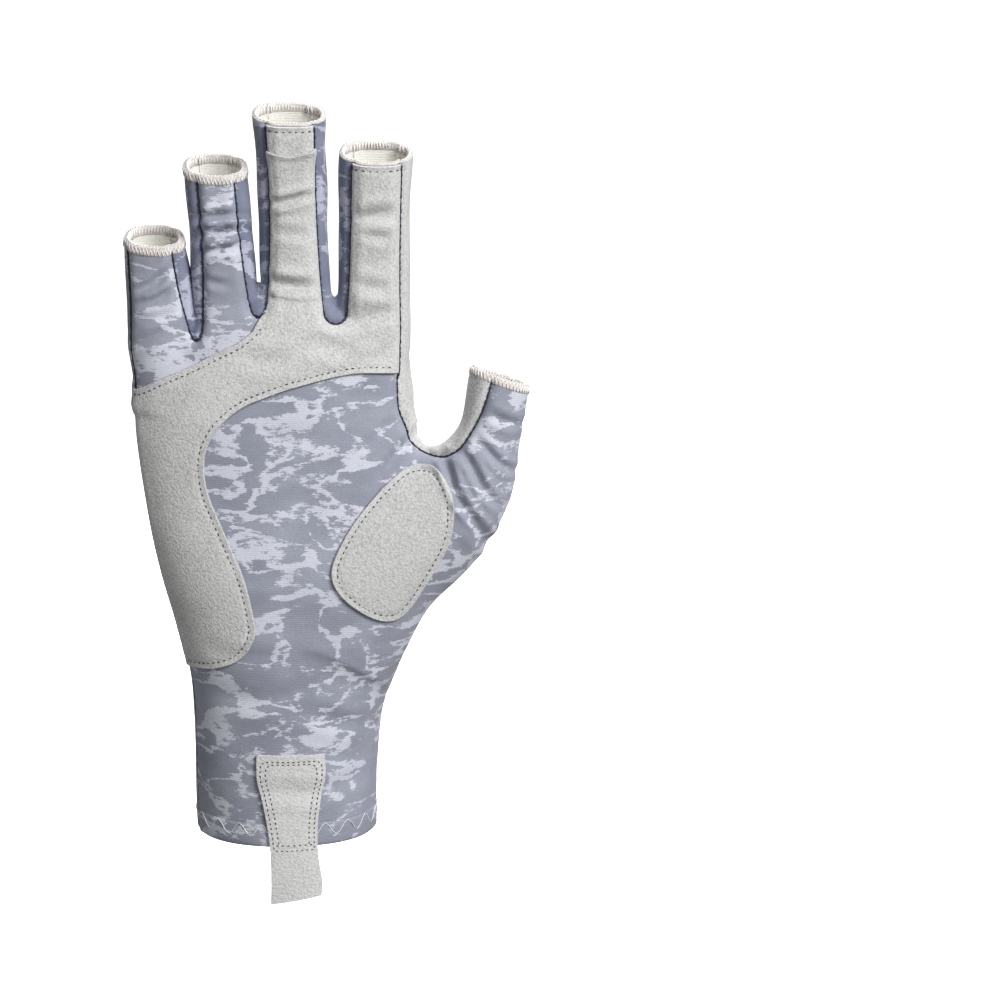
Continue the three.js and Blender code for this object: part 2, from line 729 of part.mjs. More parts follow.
function addPiece(name, solid, finish) {
  const mesh = solid.getMesh();
  const geometry = new THREE.BufferGeometry();
  geometry.setAttribute('position', new THREE.BufferAttribute(mesh.vertProperties, mesh.numProp));
  geometry.setIndex(new THREE.BufferAttribute(mesh.triVerts, 1));
  const piece = new THREE.Mesh(geometry, new THREE.MeshStandardMaterial(finishes[finish]));
  piece.name = name;
  glove.add(piece);
}

addPiece('palm_panel', cloth.subtract(gussetCut).subtract(stripCut).intersect(frontHalf), 'knit');
addPiece('back_panel', cloth.subtract(gussetCut).subtract(stripCut).intersect(backHalf), 'knit');
for (const row of gussets) addPiece(row.name, cloth.intersect(gussetRegion(row, 0)), 'gusset');
addPiece('web_strip', cloth.intersect(stripSolid()), 'suede');
addPiece('palm_patch', palmPatch(), 'suede');
addPiece('middle_tip_band', middleTipBand(), 'suede');
addPiece('thumb_pad', thumbPad(), 'suede');
addPiece('pull_tab', pullTab(), 'suede');
addPiece('cuff_hem', cuffHem(), 'knit');
for (const name of [...fingerNames, 'thumb']) addPiece(`${name}_tip_hem`, tipHem(name), 'hem');

export default glove;
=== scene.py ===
# A fingerless sun and fishing glove for the right hand, filled out as it is when worn.
# The hand is one smooth field in millimetres. Its surface is cut along the seams into the panels,
# each panel gets its wall of cloth, and the threads are laid along the same lines.
import math
from functools import partial
import bpy
import numpy as np
from mathutils import Matrix


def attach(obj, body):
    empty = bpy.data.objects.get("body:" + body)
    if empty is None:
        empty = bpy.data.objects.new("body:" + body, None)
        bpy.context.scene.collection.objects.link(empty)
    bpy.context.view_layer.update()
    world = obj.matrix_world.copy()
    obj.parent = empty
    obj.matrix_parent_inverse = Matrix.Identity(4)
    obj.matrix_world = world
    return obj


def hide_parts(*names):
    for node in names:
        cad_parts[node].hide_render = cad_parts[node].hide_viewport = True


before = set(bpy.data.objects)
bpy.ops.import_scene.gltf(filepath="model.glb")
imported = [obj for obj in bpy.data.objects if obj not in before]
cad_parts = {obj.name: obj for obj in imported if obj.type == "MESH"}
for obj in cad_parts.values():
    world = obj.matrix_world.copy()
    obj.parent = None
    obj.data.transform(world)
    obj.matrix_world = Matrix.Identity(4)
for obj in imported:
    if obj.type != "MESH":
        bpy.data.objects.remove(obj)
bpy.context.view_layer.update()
milli = 0.001


def unit(vectors):
    # the same directions with a length of one
    return vectors / np.maximum(np.linalg.norm(vectors, axis=1), 1e-9)[:, None]


def lengthOf(line):
    # the sum of the steps between a line's points
    return float(np.linalg.norm(np.diff(line, axis=0), axis=1).sum())


def gridFaces(rows, columns, closed):
    # four-sided faces between rows of points: the columns run round, and closed rows do as well
    row, spot = np.meshgrid(np.arange(rows if closed else rows - 1), np.arange(columns), indexing="ij")
    onward, around = (row + 1) % rows, (spot + 1) % columns
    return np.stack([
        row * columns + spot, onward * columns + spot, onward * columns + around, row * columns + around,
    ], -1).reshape(-1, 4)


def rowsOf(names, *rows):
    # a table with named columns, each a smooth line through its rows: the cubic between two rows has
    # the slopes that each row's neighbours give
    columns = dict(zip(names.split(), np.array(rows, float).T))
    place = columns["at"]
    fine = np.linspace(place[0], place[-1], 1601)
    low = np.clip(np.searchsorted(place, fine, side="right") - 1, 0, len(place) - 2)
    span = place[low + 1] - place[low]
    t = (fine - place[low]) / span
    smooth = {"at": fine}
    for name, value in columns.items():
        slope = np.gradient(value, place)
        slope[1:-1] = (value[2:] - value[:-2]) / (place[2:] - place[:-2])
        bow = span * t * (1 - t) * ((1 - t) * slope[low] - t * slope[low + 1])
        if name != "at":
            smooth[name] = value[low] + (value[low + 1] - value[low]) * t * t * (3 - 2 * t) + bow
    return smooth


def columnAt(rows, column, at):
    return np.interp(at, rows["at"], rows[column])


hand = dict(
    length=172, palmWidth=94, palmDepth=30, wristWidth=61.5, wristDepth=47,
    arch=10, archMiddle=-0.02, archHalf=0.29, archFall=2.2,
    fingerLength=71.5, fingerWidth=23.4, fingerDepth=19.5, tubePower=2.2, curl=9, rootDrop=24, rimSlope=0.4,
    webHeight=133.5, webReach=49, thumbReach=70.2, thumbRise=159.3, thumbWidth=19.8, thumbDepth=19,
    seamInset=4, backSeamInset=2,
    sideShift=4.0,  # how far the side seam lies to the palm side of the little finger's edge
    shiftOver=20,  # the width over which it gets there, from half of it past the middle on
    archFrom=112,  # below this height the rows are level
    tipOverrun=100,  # how far the thumb runs straight on past its ends, for each whole share
    rootSlim=0.24,  # how much slimmer a finger ends inside the palm
    toeTo=0.7,  # share of a finger's length from which its seams keep their full inset
    pastRim=16, pastThumb=24, pastStrip=50,  # how far the outlines run on past the openings
    thumbAlone=(56, 125),  # past this x and z there is only the thumb
    fingerBlend=1.5, palmBlend=5, thumbBlend=9, capBlend=3,  # how widely two forms run into each other
    cell=1.0,  # size of the surface's faces
)
palmRows = rowsOf(
    "at wrist left right front back arch power",
    (0, 1, 0.502, 0.498, 0.5, 0.5, 0, 2.1),
    (0.12, 1, 0.508, 0.497, 0.492, 0.49, 0, 2.1),
    (0.24, 0.98, 0.512, 0.52, 0.49, 0.485, 0, 2.1),
    (0.33, 0.8, 0.487, 0.535, 0.515, 0.49, 0, 2.15),
    (0.43, 0.5, 0.478, 0.535, 0.575, 0.515, 0, 2.2),
    (0.55, 0.2, 0.487, 0.525, 0.65, 0.535, 0, 2.3),
    (0.67, 0, 0.498, 0.487, 0.625, 0.55, 0, 2.4),
    (0.81, 0, 0.53, 0.466, 0.57, 0.5, 0.1, 2.5),
    (0.9, 0, 0.536, 0.447, 0.52, 0.455, 0.4, 2.5),
    (0.96, 0, 0.545, 0.445, 0.45, 0.4, 0.8, 2.4),
    (1, 0, 0.54, 0.435, 0.34, 0.29, 1, 2.2),
    (1.02, 0, 0.53, 0.42, 0.15, 0.13, 1, 2),
)
fingers = dict(
    little=dict(root=-0.434, tip=-0.463, length=0.435, rootWidth=0.98, waist=0.9, tipWidth=0.815, depth=0.9),
    ring=dict(root=-0.207, tip=-0.25, length=0.762, rootWidth=0.93, waist=0.885, tipWidth=0.87, depth=0.97),
    middle=dict(root=0.035, tip=0.004, length=1, rootWidth=1.07, waist=0.95, tipWidth=1, depth=1.02),
    index=dict(root=0.3, tip=0.303, length=0.835, rootWidth=1.07, waist=1.01, tipWidth=1.01, depth=1.03),
)
fingerRows = rowsOf(
    "at depth waist",
    (-1, 1.4, 0), (-0.5, 1.3, 0), (0, 1.14, 0.1), (0.3, 1.02, 0.75), (0.6, 0.97, 1), (1, 0.98, 1),
)
thumbRows = rowsOf(
    "at x z forward width depth lean",
    (0, 0.27, 0.42, 0.25, 1.7, 1.5, 34),
    (0.2, 0.41, 0.556, 0.3, 2.05, 1.72, 36),
    (0.45, 0.67, 0.673, 0.39, 1.97, 1.58, 38),
    (0.7, 0.857, 0.771, 0.48, 1.5, 1.3, 22),
    (0.87, 0.952, 0.882, 0.57, 1.05, 1.08, 11),
    (1, 1, 1, 0.63, 1, 1, 18.5),
)
webRows = rowsOf(
    "at x top forward height depth",
    (0, 0.72, 1.02, 0.12, 1.9, 1.1), (0.5, 1, 1, 0.3, 1.6, 0.82), (1, 1.27, 1.03, 0.48, 1.4, 0.85),
)


def ovalDistance(x, y, halfX, halfY, power):
    # distance to a rounded section: its level, the power mean of the two shares, over the level's slope
    a = np.maximum(np.abs(x) / halfX, 1e-4)
    b = np.maximum(np.abs(y) / halfY, 1e-4)
    level = (a ** power + b ** power) ** (1 / power)
    slope = np.hypot((a / level) ** (power - 1) / halfX, (b / level) ** (power - 1) / halfY)
    return (level - 1) / slope


def joined(a, b, reach):
    # the lower of two distances, rounded off where they differ by less than reach
    near = np.maximum(reach - np.abs(a - b), 0) / reach
    return np.minimum(a, b) - near * near * reach / 4


def middleDepth(z):
    # middle of the hand's depth: the fingers lean to the palm side with the square of their height
    start = hand["length"] - hand["rootDrop"] / 2
    share = np.maximum(0, z - start) / (hand["fingerLength"] + hand["rootDrop"] / 2)
    return -hand["curl"] * share ** 2


def palmField(x, y, z):
    # rounded sections up the wrist and the palm, whose upper rows arch up under the middle finger
    fromPeak = (x / hand["palmWidth"] - hand["archMiddle"]) / hand["archHalf"]
    rise = hand["arch"] * np.maximum(1 - fromPeak ** 2, -hand["archFall"])
    at = z / hand["length"] + 0 * x
    nudge, slowest, farthest = 0.003, 25, 0.08  # of the search for a point's row
    for _ in range(5 if z.max() > hand["archFrom"] else 0):
        low = columnAt(palmRows, "arch", at - nudge)
        high = columnAt(palmRows, "arch", at + nudge)
        level = at * hand["length"] + (low + high) / 2 * rise
        speed = hand["length"] + (high - low) / (2 * nudge) * rise
        at = at - np.clip((level - z) / np.maximum(speed, slowest), -farthest, farthest)
    wrist = columnAt(palmRows, "wrist", at)
    width = hand["palmWidth"] + (hand["wristWidth"] - hand["palmWidth"]) * wrist
    depth = hand["palmDepth"] + (hand["wristDepth"] - hand["palmDepth"]) * wrist
    sideways = np.where(x > 0, columnAt(palmRows, "right", at), columnAt(palmRows, "left", at)) * width
    back = columnAt(palmRows, "back", at) * depth
    front = columnAt(palmRows, "front", at) * depth
    section = ovalDistance(x, y, sideways, np.where(y > 0, back, front), columnAt(palmRows, "power", at))
    cap = (at - palmRows["at"][-1]) * hand["length"]
    return -joined(-section, -cap, hand["capBlend"])


def fingerAt(name, at):
    # middle and half sizes of a finger at a share of its length, or of its drop inside the palm
    finger = fingers[name]
    up = np.maximum(0, at)
    inside = np.clip(at, -1, 1)
    rooted = 1 - hand["rootSlim"] * np.clip(-inside / 0.8 - 0.25, 0, 1)
    length = finger["length"] * hand["fingerLength"]
    z = hand["length"] + np.where(at < 0, at * hand["rootDrop"], at * length)
    depth = columnAt(fingerRows, "depth", inside)
    width = (
        finger["rootWidth"]
        + (finger["waist"] - finger["rootWidth"]) * columnAt(fingerRows, "waist", inside)
        + (finger["tipWidth"] - finger["waist"]) * np.minimum(up, 1) ** 3
    )
    return dict(
        x=hand["palmWidth"] * (finger["root"] + (finger["tip"] - finger["root"]) * up),
        y=middleDepth(z),
        z=z,
        halfWidth=rooted * width * hand["fingerWidth"] / 2,
        halfDepth=rooted * depth * finger["depth"] * hand["fingerDepth"] / 2,
    )


def fingerField(name, x, y, z):
    # rounded sections up one finger
    above = z - hand["length"]
    length = fingers[name]["length"] * hand["fingerLength"]
    place = fingerAt(name, np.where(above > 0, above / length, above / hand["rootDrop"]))
    section = ovalDistance(
        x - place["x"], y - place["y"], place["halfWidth"], place["halfDepth"], hand["tubePower"]
    )
    return np.maximum(section, hand["length"] - hand["rootDrop"] - z)


def thumbAt(at):
    # middle, lean and half sizes of the thumb at a share of its length, straight on past its ends
    inside = np.clip(at, 0, 1)
    lean = np.radians(columnAt(thumbRows, "lean", inside))
    beyond = (at - inside) * hand["tipOverrun"]
    return dict(
        x=columnAt(thumbRows, "x", inside) * hand["thumbReach"] + beyond * np.sin(lean),
        y=-columnAt(thumbRows, "forward", inside) * hand["thumbDepth"],
        z=columnAt(thumbRows, "z", inside) * hand["thumbRise"] + beyond * np.cos(lean),
        lean=lean,
        halfWidth=columnAt(thumbRows, "width", inside) * hand["thumbWidth"] / 2,
        halfDepth=columnAt(thumbRows, "depth", inside) * hand["thumbDepth"] / 2,
    )


def thumbField(x, y, z):
    # rounded sections up the thumb, each square to its lean: the place is first taken along a line
    # that leans by 30 degrees, and then found by small steps
    aside, upward = 0.5, 0.866
    leaning = thumbRows["x"] * hand["thumbReach"] * aside + thumbRows["z"] * hand["thumbRise"] * upward
    at = np.interp(x * aside + z * upward, leaning, thumbRows["at"])
    slower = 110  # a little more than the thumb's length, so that the steps don't overshoot
    for _ in range(5):
        place = thumbAt(at)
        off = (x - place["x"]) * np.sin(place["lean"]) + (z - place["z"]) * np.cos(place["lean"])
        at = np.clip(at + off / slower, -0.6, 1.6)
    place = thumbAt(at)
    across = (x - place["x"]) * np.cos(place["lean"]) - (z - place["z"]) * np.sin(place["lean"])
    section = ovalDistance(
        across, y - place["y"], place["halfWidth"], place["halfDepth"], hand["tubePower"]
    )
    return np.maximum(section, np.maximum(-at * hand["tipOverrun"], np.abs(off) - 2))


def webField(x, y, z):
    # upright ovals between the hand and the thumb
    at = np.interp(x / hand["webReach"], webRows["x"], webRows["at"])
    halfHeight = columnAt(webRows, "height", at) * hand["thumbDepth"] / 2
    halfDepth = columnAt(webRows, "depth", at) * hand["thumbDepth"] / 2
    middle = columnAt(webRows, "top", at) * hand["webHeight"] - halfHeight
    forward = -columnAt(webRows, "forward", at) * hand["thumbDepth"]
    section = ovalDistance(y - forward, z - middle, halfDepth, halfHeight, 2)
    ends = np.maximum(webRows["x"][0] * hand["webReach"] - x, x - webRows["x"][-1] * hand["webReach"])
    return np.maximum(section, ends)


# The heights and distances aside within which each part of the hand counts, and the blocks of points
# that are worked out together
parts = dict(
    fingersFrom=142, fingerHalf=22, palmTo=206, thumbAside=8, thumbFrom=48, thumbTo=196, far=60,
    blockWide=30, blockHigh=20, columns=5, rows=14,
)


def formField(x, y, z):
    # distance to the hand form near some points: only the parts that come near them are worked out
    tubes = parts["far"] + 0 * (x + y + z)
    for name, finger in fingers.items():
        middle = hand["palmWidth"] * (finger["root"] + finger["tip"]) / 2
        beside = x.max() > middle - parts["fingerHalf"] and x.min() < middle + parts["fingerHalf"]
        if z.max() > parts["fingersFrom"] and beside:
            tubes = joined(tubes, fingerField(name, x, y, z), hand["fingerBlend"])
    form = tubes
    if z.min() < parts["palmTo"]:
        form = joined(palmField(x, y, z), tubes, hand["palmBlend"])
    if x.max() > parts["thumbAside"] and z.max() > parts["thumbFrom"] and z.min() < parts["thumbTo"]:
        form = joined(form, webField(x, y, z), hand["palmBlend"])
        form = joined(form, thumbField(x, y, z), hand["thumbBlend"])
    return form


def handField(x, y, z):
    # distance to the whole hand form, below zero inside, block by block
    if x.ndim == 3:
        pieces = []
        for some in np.array_split(x, parts["columns"], 0):
            stack = [formField(some, y, part) for part in np.array_split(z, parts["rows"], 2)]
            pieces.append(np.concatenate(stack, 2))
        return np.concatenate(pieces, 0)
    result = np.empty(len(x))
    block = np.floor(x / parts["blockWide"]) * 100 + np.floor(z / parts["blockHigh"])
    order = np.argsort(block, kind="stable")
    for some in np.split(order, np.flatnonzero(np.diff(block[order])) + 1):
        result[some] = formField(x[some], y[some], z[some])
    return result


def settle(points, rounds=3):
    # moves points onto the hand's surface along its slope, and gives them with their outward directions
    reach, leastSlope, farthest = 0.05, 0.05, 2
    for turn in range(rounds + 1):
        slope = np.stack([
            handField(*(points + step).T) - handField(*(points - step).T) for step in np.eye(3) * reach
        ], 1) / (2 * reach)
        if turn == rounds:
            break
        steep = np.maximum((slope ** 2).sum(1), leastSlope)
        move = handField(*points.T) / steep
        points = points - slope * np.clip(move, -farthest, farthest)[:, None]
    return points, unit(slope)


def surfaceOf(field, low, high, step):
    # the surface where a field is zero, as four-sided faces: one point for each cell that it crosses,
    # at the mean of the crossings on the cell's edges, and one face round each edge that it crosses
    axes = [np.arange(low[i], high[i] + step, step) for i in range(3)]
    value = field(*np.meshgrid(*axes, indexing="ij", sparse=True))
    counts = np.array(value.shape)
    corners, faces = [], []
    for axis in range(3):
        first = np.take(value, np.arange(counts[axis] - 1), axis)
        second = np.take(value, np.arange(1, counts[axis]), axis)
        spot = np.argwhere((first < 0) != (second < 0))
        one, two = (axis + 1) % 3, (axis + 2) % 3
        spot = spot[(spot[:, one] > 0) & (spot[:, two] > 0)]
        spot = spot[(spot[:, one] < counts[one] - 1) & (spot[:, two] < counts[two] - 1)]
        a, b = first[tuple(spot.T)], second[tuple(spot.T)]
        crossing = np.stack([axes[i][spot[:, i]] for i in range(3)], 1)
        crossing[:, axis] += step * a / (a - b)
        around = []
        for back in ((1, 1), (0, 1), (0, 0), (1, 0)):
            cell = spot.copy()
            cell[:, one] -= back[0]
            cell[:, two] -= back[1]
            around.append(np.ravel_multi_index(tuple(cell.T), tuple(counts)))
        around = np.stack(around, 1)
        around[a > 0] = around[a > 0][:, ::-1]
        faces.append(around)
        corners.append(np.repeat(crossing[:, None], 4, 1))
    faces = np.vstack(faces)
    cells, number = np.unique(faces, return_inverse=True)
    number = number.reshape(faces.shape)
    spots = np.vstack(corners).reshape(-1, 3)
    share = np.bincount(number.ravel(), minlength=len(cells)).astype(float)
    points = np.stack([np.bincount(number.ravel(), spots[:, i], len(cells)) / share for i in range(3)], 1)
    return points, number


def relaxed(points, faces, rounds):
    # evens the points out over the surface: each moves towards the mean of its neighbours
    ends = np.vstack([faces[:, [i, (i + 1) % 4]] for i in range(4)])
    ends = np.unique(np.sort(ends, 1), axis=0)
    ends = np.vstack([ends, ends[:, ::-1]])
    share = np.maximum(np.bincount(ends[:, 0], minlength=len(points)), 1)
    border = share < 3
    for _ in range(rounds):
        total = [np.bincount(ends[:, 0], points[ends[:, 1], i], len(points)) for i in range(3)]
        mean = np.stack([each / share for each in total], 1)
        points = np.where(border[:, None], points, (points + mean) / 2)
        points, _ = settle(points, 1)
    return points


print("glove: working out the hand's surface")
skinBox = ((-60, -32, -6), (86, 30, 262))  # holds the hand form, and cuts it off below the wrist opening
skinPoints, skinFaces = surfaceOf(handField, *skinBox, hand["cell"])
skinPoints = relaxed(skinPoints, skinFaces, 4)
skinPoints, skinNormals = settle(skinPoints, 2)
print("glove:", len(skinPoints), "points,", len(skinFaces), "faces")


def outlineThrough(points, count, closed=False):
    # a smooth line through points: the cubic whose slopes are half the step between the neighbours
    points = np.asarray(points, float)
    if closed:
        points = np.vstack([points, points[:1]])
        padded = np.vstack([points[-2:-1], points, points[1:2]])
    else:
        padded = np.vstack([points[:1], points, points[-1:]])
    t = np.linspace(0, len(points) - 1, count + 1)
    low = np.minimum(t.astype(int), len(points) - 2)
    u = (t - low)[:, None]
    a, b, c, d = (padded[low + i] for i in range(4))
    square, cube = 2 * a - 5 * b + 4 * c - d, 3 * b - a - 3 * c + d
    return (2 * b + (c - a) * u + square * u ** 2 + cube * u ** 3) / 2


def insideOutline(x, z, outline):
    # how far inside a closed outline of x and z each point lies, below zero outside it
    nearest = np.full(len(x), 1e9)
    inside = np.zeros(len(x), bool)
    for start, end in zip(outline, np.roll(outline, -1, 0)):
        along = end - start
        share = ((x - start[0]) * along[0] + (z - start[1]) * along[1]) / max(along @ along, 1e-9)
        share = np.clip(share, 0, 1)
        away = np.hypot(x - start[0] - share * along[0], z - start[1] - share * along[1])
        nearest = np.minimum(nearest, away)
        passes = (z > start[1]) != (z > end[1])
        inside ^= passes & (x < start[0] + (z - start[1]) * along[0] / (along[1] if along[1] else 1))
    return np.where(inside, nearest, -nearest)


def fingerSeam(name, side, inset, floor):
    # the seam along one edge of a finger, from a height up and on past the rim. Between two fingers it
    # comes nearer to the edge towards the root
    start = max(0, (floor - hand["length"]) / (fingers[name]["length"] * hand["fingerLength"]))
    up = np.linspace(start, 1, 24)
    place = fingerAt(name, up)
    toe = min([1] + [row[3] for row in gussets.values() if row[(1 - side) // 2] == name])
    inset = inset * (toe + (1 - toe) * np.sin(np.clip(up / hand["toeTo"], 0, 1) * math.pi / 2))
    line = np.stack([place["x"] + side * (place["halfWidth"] - inset), place["z"]], 1)
    line[-1, 1] += hand["pastRim"]
    return line


gussets = dict(
    gusset_little_ring=("little", "ring", -0.035, 0.5),
    gusset_ring_middle=("ring", "middle", 0.08, 0.45),
    gusset_middle_index=("middle", "index", 0.05, 0.9),
)  # left and right finger, lowest point above the roots as a share of fingerLength, seam inset there


def gussetOutline(name, clearance=0.0):
    # two finger seams, joined below by half an ellipse
    left, right, floor, toeShare = gussets[name]
    inset = hand["seamInset"] + clearance
    floor = hand["length"] + floor * hand["fingerLength"]
    left = fingerSeam(left, 1, inset, floor + hand["seamInset"])
    right = fingerSeam(right, -1, inset, floor + hand["seamInset"])
    turn = np.linspace(math.pi, 2 * math.pi, 15)[1:-1]
    half = (right[0, 0] - left[0, 0]) / 2
    toe = np.stack([
        left[0, 0] + half + half * np.cos(turn),
        left[0, 1] + (hand["seamInset"] + clearance) * np.sin(turn),
    ], 1)
    return np.vstack([left[::-1], toe, right])


# Borders of the web strip: shares of thumbWidth from the web's lowest point, then places on the thumb
# with shares of its half width
stripBorders = dict(
    front=dict(
        inset=hand["seamInset"],
        web=((-0.63, 0.85), (-0.5, 0.45), (-0.34, 0.1), (0, -0.045), (0.32, 0.08)),
        thumb=((0.87, -0.66), (0.93, -0.48), (1, -0.36)),
    ),
    back=dict(
        inset=hand["backSeamInset"],
        web=((-0.45, 0.9), (-0.37, 0.3), (-0.27, -0.35), (-0.1, -0.52), (0.14, -0.56), (0.46, -0.48)),
        thumb=((0.8, 0.08), (0.88, 0.26), (0.94, 0.42), (1, 0.62)),
    ),
)


def stripOutline(border):
    # down the index finger's seam, round the web and up the thumb
    seam = fingerSeam("index", 1, border["inset"], hand["length"])[::-1]
    web = np.array(border["web"]) * hand["thumbWidth"] + (hand["webReach"], hand["webHeight"])
    places, across = np.array(border["thumb"]).T
    place = thumbAt(places)
    aside = across * place["halfWidth"]
    thumb = np.stack([
        place["x"] + np.cos(place["lean"]) * aside, place["z"] - np.sin(place["lean"]) * aside,
    ], 1)
    lean = math.radians(thumbRows["lean"][-1])
    edge = outlineThrough(np.vstack([seam[-1:], web, thumb]), 60)
    onward = edge[-1] + hand["pastThumb"] * np.array([math.sin(lean), math.cos(lean)])
    top = seam[0, 1] + hand["pastStrip"]
    return np.vstack([seam, edge[1:], [onward], [(edge[-1, 0], top)], [(seam[0, 0], top)]])


# Edges of the suede: x as shares of palmWidth, z as shares of the hand's length
suede = dict(
    top=(
        (-0.52, 0.89), (-0.434, 0.915), (-0.337, 0.938), (-0.24, 0.967), (-0.17, 0.986), (-0.12, 1.007),
    ),
    bottom=(
        (0.382, 0.93), (0.218, 0.93), (0.031, 0.906), (-0.08, 0.885), (-0.17, 0.862), (-0.246, 0.823),
        (-0.29, 0.77), (-0.278, 0.698), (-0.203, 0.6), (-0.154, 0.535), (-0.116, 0.445), (-0.131, 0.407),
        (-0.173, 0.377), (-0.25, 0.358), (-0.34, 0.35), (-0.45, 0.345),
    ),
    pad=(
        (0.482, 0.751), (0.536, 0.74), (0.575, 0.69), (0.562, 0.61), (0.486, 0.53), (0.4, 0.464),
        (0.31, 0.46), (0.2, 0.5), (0.154, 0.55), (0.2, 0.615), (0.286, 0.68), (0.395, 0.737),
    ),
    gap=0.3, wall=1.0, bulge=0.3,
    sideGap=0.3, rimGap=0.7,  # how far it stays off the side seam and the rims
    slitDrop=12, slitSag=2.4,  # how far below the rim the slit is, and how far its lip hangs
    lipReach=3.4, lipHalf=15, lipLift=1.9, lipTilt=0.07, lipCorner=9, cornerDrop=0.6,
    stitchInset=1.7, stitchPitch=2.0, rimStitch=2.1, offSeams=2.6, insideEdge=0.3,
    pinchWidth=0.55, pinchDepth=0.38, frontFrom=1.0,
    beside=0.95, besideReach=1.6,  # how much higher a seam lies next to the suede, and how near
    outside=-90,  # x of the patch's outline past the hand's edge
)


def handPoints(rows):
    return np.array(rows) * (hand["palmWidth"], hand["length"])


def patchOutline():
    # the hand's edge, up both sides of the middle finger to the slit, the index finger, and back down
    inset = hand["seamInset"] + suede["gap"]
    floors = {name: hand["length"] + gussets[name][2] * hand["fingerLength"] for name in gussets}
    slit = float(fingerAt("middle", 1)["z"]) - suede["slitDrop"]
    left = fingerSeam("middle", -1, inset, floors["gusset_ring_middle"] + hand["seamInset"])
    right = fingerSeam("middle", 1, inset, floors["gusset_middle_index"] + hand["seamInset"])
    left, right = left[left[:, 1] < slit], right[right[:, 1] < slit]
    lip = outlineThrough([
        (left[-1, 0], slit + 0.4), ((left[-1, 0] + right[-1, 0]) / 2, slit - suede["slitSag"] * 0.6),
        (right[-1, 0], slit + 1.6),
    ], 10)
    toe = gussetOutline("gusset_middle_index", suede["gap"])[24:-24]
    return np.vstack([
        outlineThrough(handPoints(suede["top"]), 24), left, lip, right[::-1], toe,
        fingerSeam("index", -1, inset, floors["gusset_middle_index"] + hand["seamInset"]),
        fingerSeam("index", 1, inset, hand["length"])[::-1],
        outlineThrough(handPoints(suede["bottom"]), 90),
        [(suede["outside"], suede["bottom"][-1][1] * hand["length"])],
        [(suede["outside"], suede["top"][0][1] * hand["length"])],
    ])


def bandOutline():
    # the band above the slit, which runs on down behind the lip
    inset = hand["seamInset"] + suede["gap"]
    low = float(fingerAt("middle", 1)["z"]) - suede["slitDrop"] - 6
    left = fingerSeam("middle", -1, inset + 0.2, low)
    right = fingerSeam("middle", 1, inset + 0.2, low)
    return np.vstack([left, right[::-1]])


def frontOf(points):
    # how far points lie in front of the seam between palm and back, which follows the middle of the
    # hand's depth and past the index finger runs over to the thumb's middle
    x, y, z = points.T
    root = fingerAt("index", 0)
    start, end = root["x"] + root["halfWidth"], hand["webReach"] + 2 * hand["seamInset"]
    aside = np.clip((x - start) / (end - start), 0, 1)
    aside = aside * aside * (3 - 2 * aside)
    place = thumbAt(np.linspace(0, 1.3, 200))
    low = thumbAt(np.array([0.2]))["z"]
    own = np.interp(z, place["z"], place["y"]) * np.clip((z - low) / (hand["thumbDepth"] / 2), 0, 1)
    shift = hand["sideShift"] * np.clip(-x / hand["shiftOver"] - 0.5, 0, 1)
    return middleDepth(z) * (1 - aside) + own * aside - y - shift


def belowRims(points):
    # how far points lie below the plane of the opening of the finger that they are nearest to
    x, y, z = points.T
    depth = np.full(len(points), 90.0)
    nearest = np.full(len(points), 9.0)
    for name, finger in fingers.items():
        rim = fingerAt(name, 1)
        length = finger["length"] * hand["fingerLength"]
        place = fingerAt(name, np.maximum(0, z - hand["length"]) / length)
        own = (rim["z"] + hand["rimSlope"] * (y - rim["y"]) - z) / math.hypot(1, hand["rimSlope"])
        aside = np.abs(x - place["x"]) / place["halfWidth"]
        depth = np.where((aside < nearest) & (z > hand["length"]), own, depth)
        nearest = np.minimum(nearest, aside)
    rim = thumbAt(np.array([1.0]))
    own = (rim["x"] - x) * np.sin(rim["lean"]) + (rim["z"] - z) * np.cos(rim["lean"])
    return np.where((x > hand["thumbAlone"][0]) & (z > hand["thumbAlone"][1]), own, depth)


def insideOf(points, *names):
    # how far points lie inside the named outlines taken together, below zero outside them all
    return np.max([insideOutline(points[:, 0], points[:, 2], outlines[name]) for name in names], 0)


print("glove: marking the panels")
seamOverlap = 0.4  # how far the two halves of the strip reach over the middle
outlines = {name: gussetOutline(name) for name in gussets}
outlines.update(
    stripFront=stripOutline(stripBorders["front"]), stripBack=stripOutline(stripBorders["back"]),
    patch=patchOutline(), band=bandOutline(),
    pad=outlineThrough(handPoints(suede["pad"]), 72, closed=True)[:-1],
)
skin = {name: insideOf(skinPoints, name) for name in outlines}
skin["front"] = frontOf(skinPoints)
skin["rims"] = belowRims(skinPoints)
skin["gussets"] = np.max([skin[name] for name in gussets], 0)
skin["strip"] = np.maximum(
    np.minimum(skin["stripFront"], skin["front"] + seamOverlap),
    np.minimum(skin["stripBack"], seamOverlap - skin["front"]),
)
skin["height"] = skinPoints[:, 2]
diagonal = np.linalg.norm(skinPoints[skinFaces[:, [0, 1]]] - skinPoints[skinFaces[:, [2, 3]]], axis=2)
shorter = diagonal[:, :1] <= diagonal[:, 1:]
skinTriangles = np.vstack([
    np.where(shorter, skinFaces[:, [0, 1, 2]], skinFaces[:, [1, 2, 3]]),
    np.where(shorter, skinFaces[:, [0, 2, 3]], skinFaces[:, [1, 3, 0]]),
])


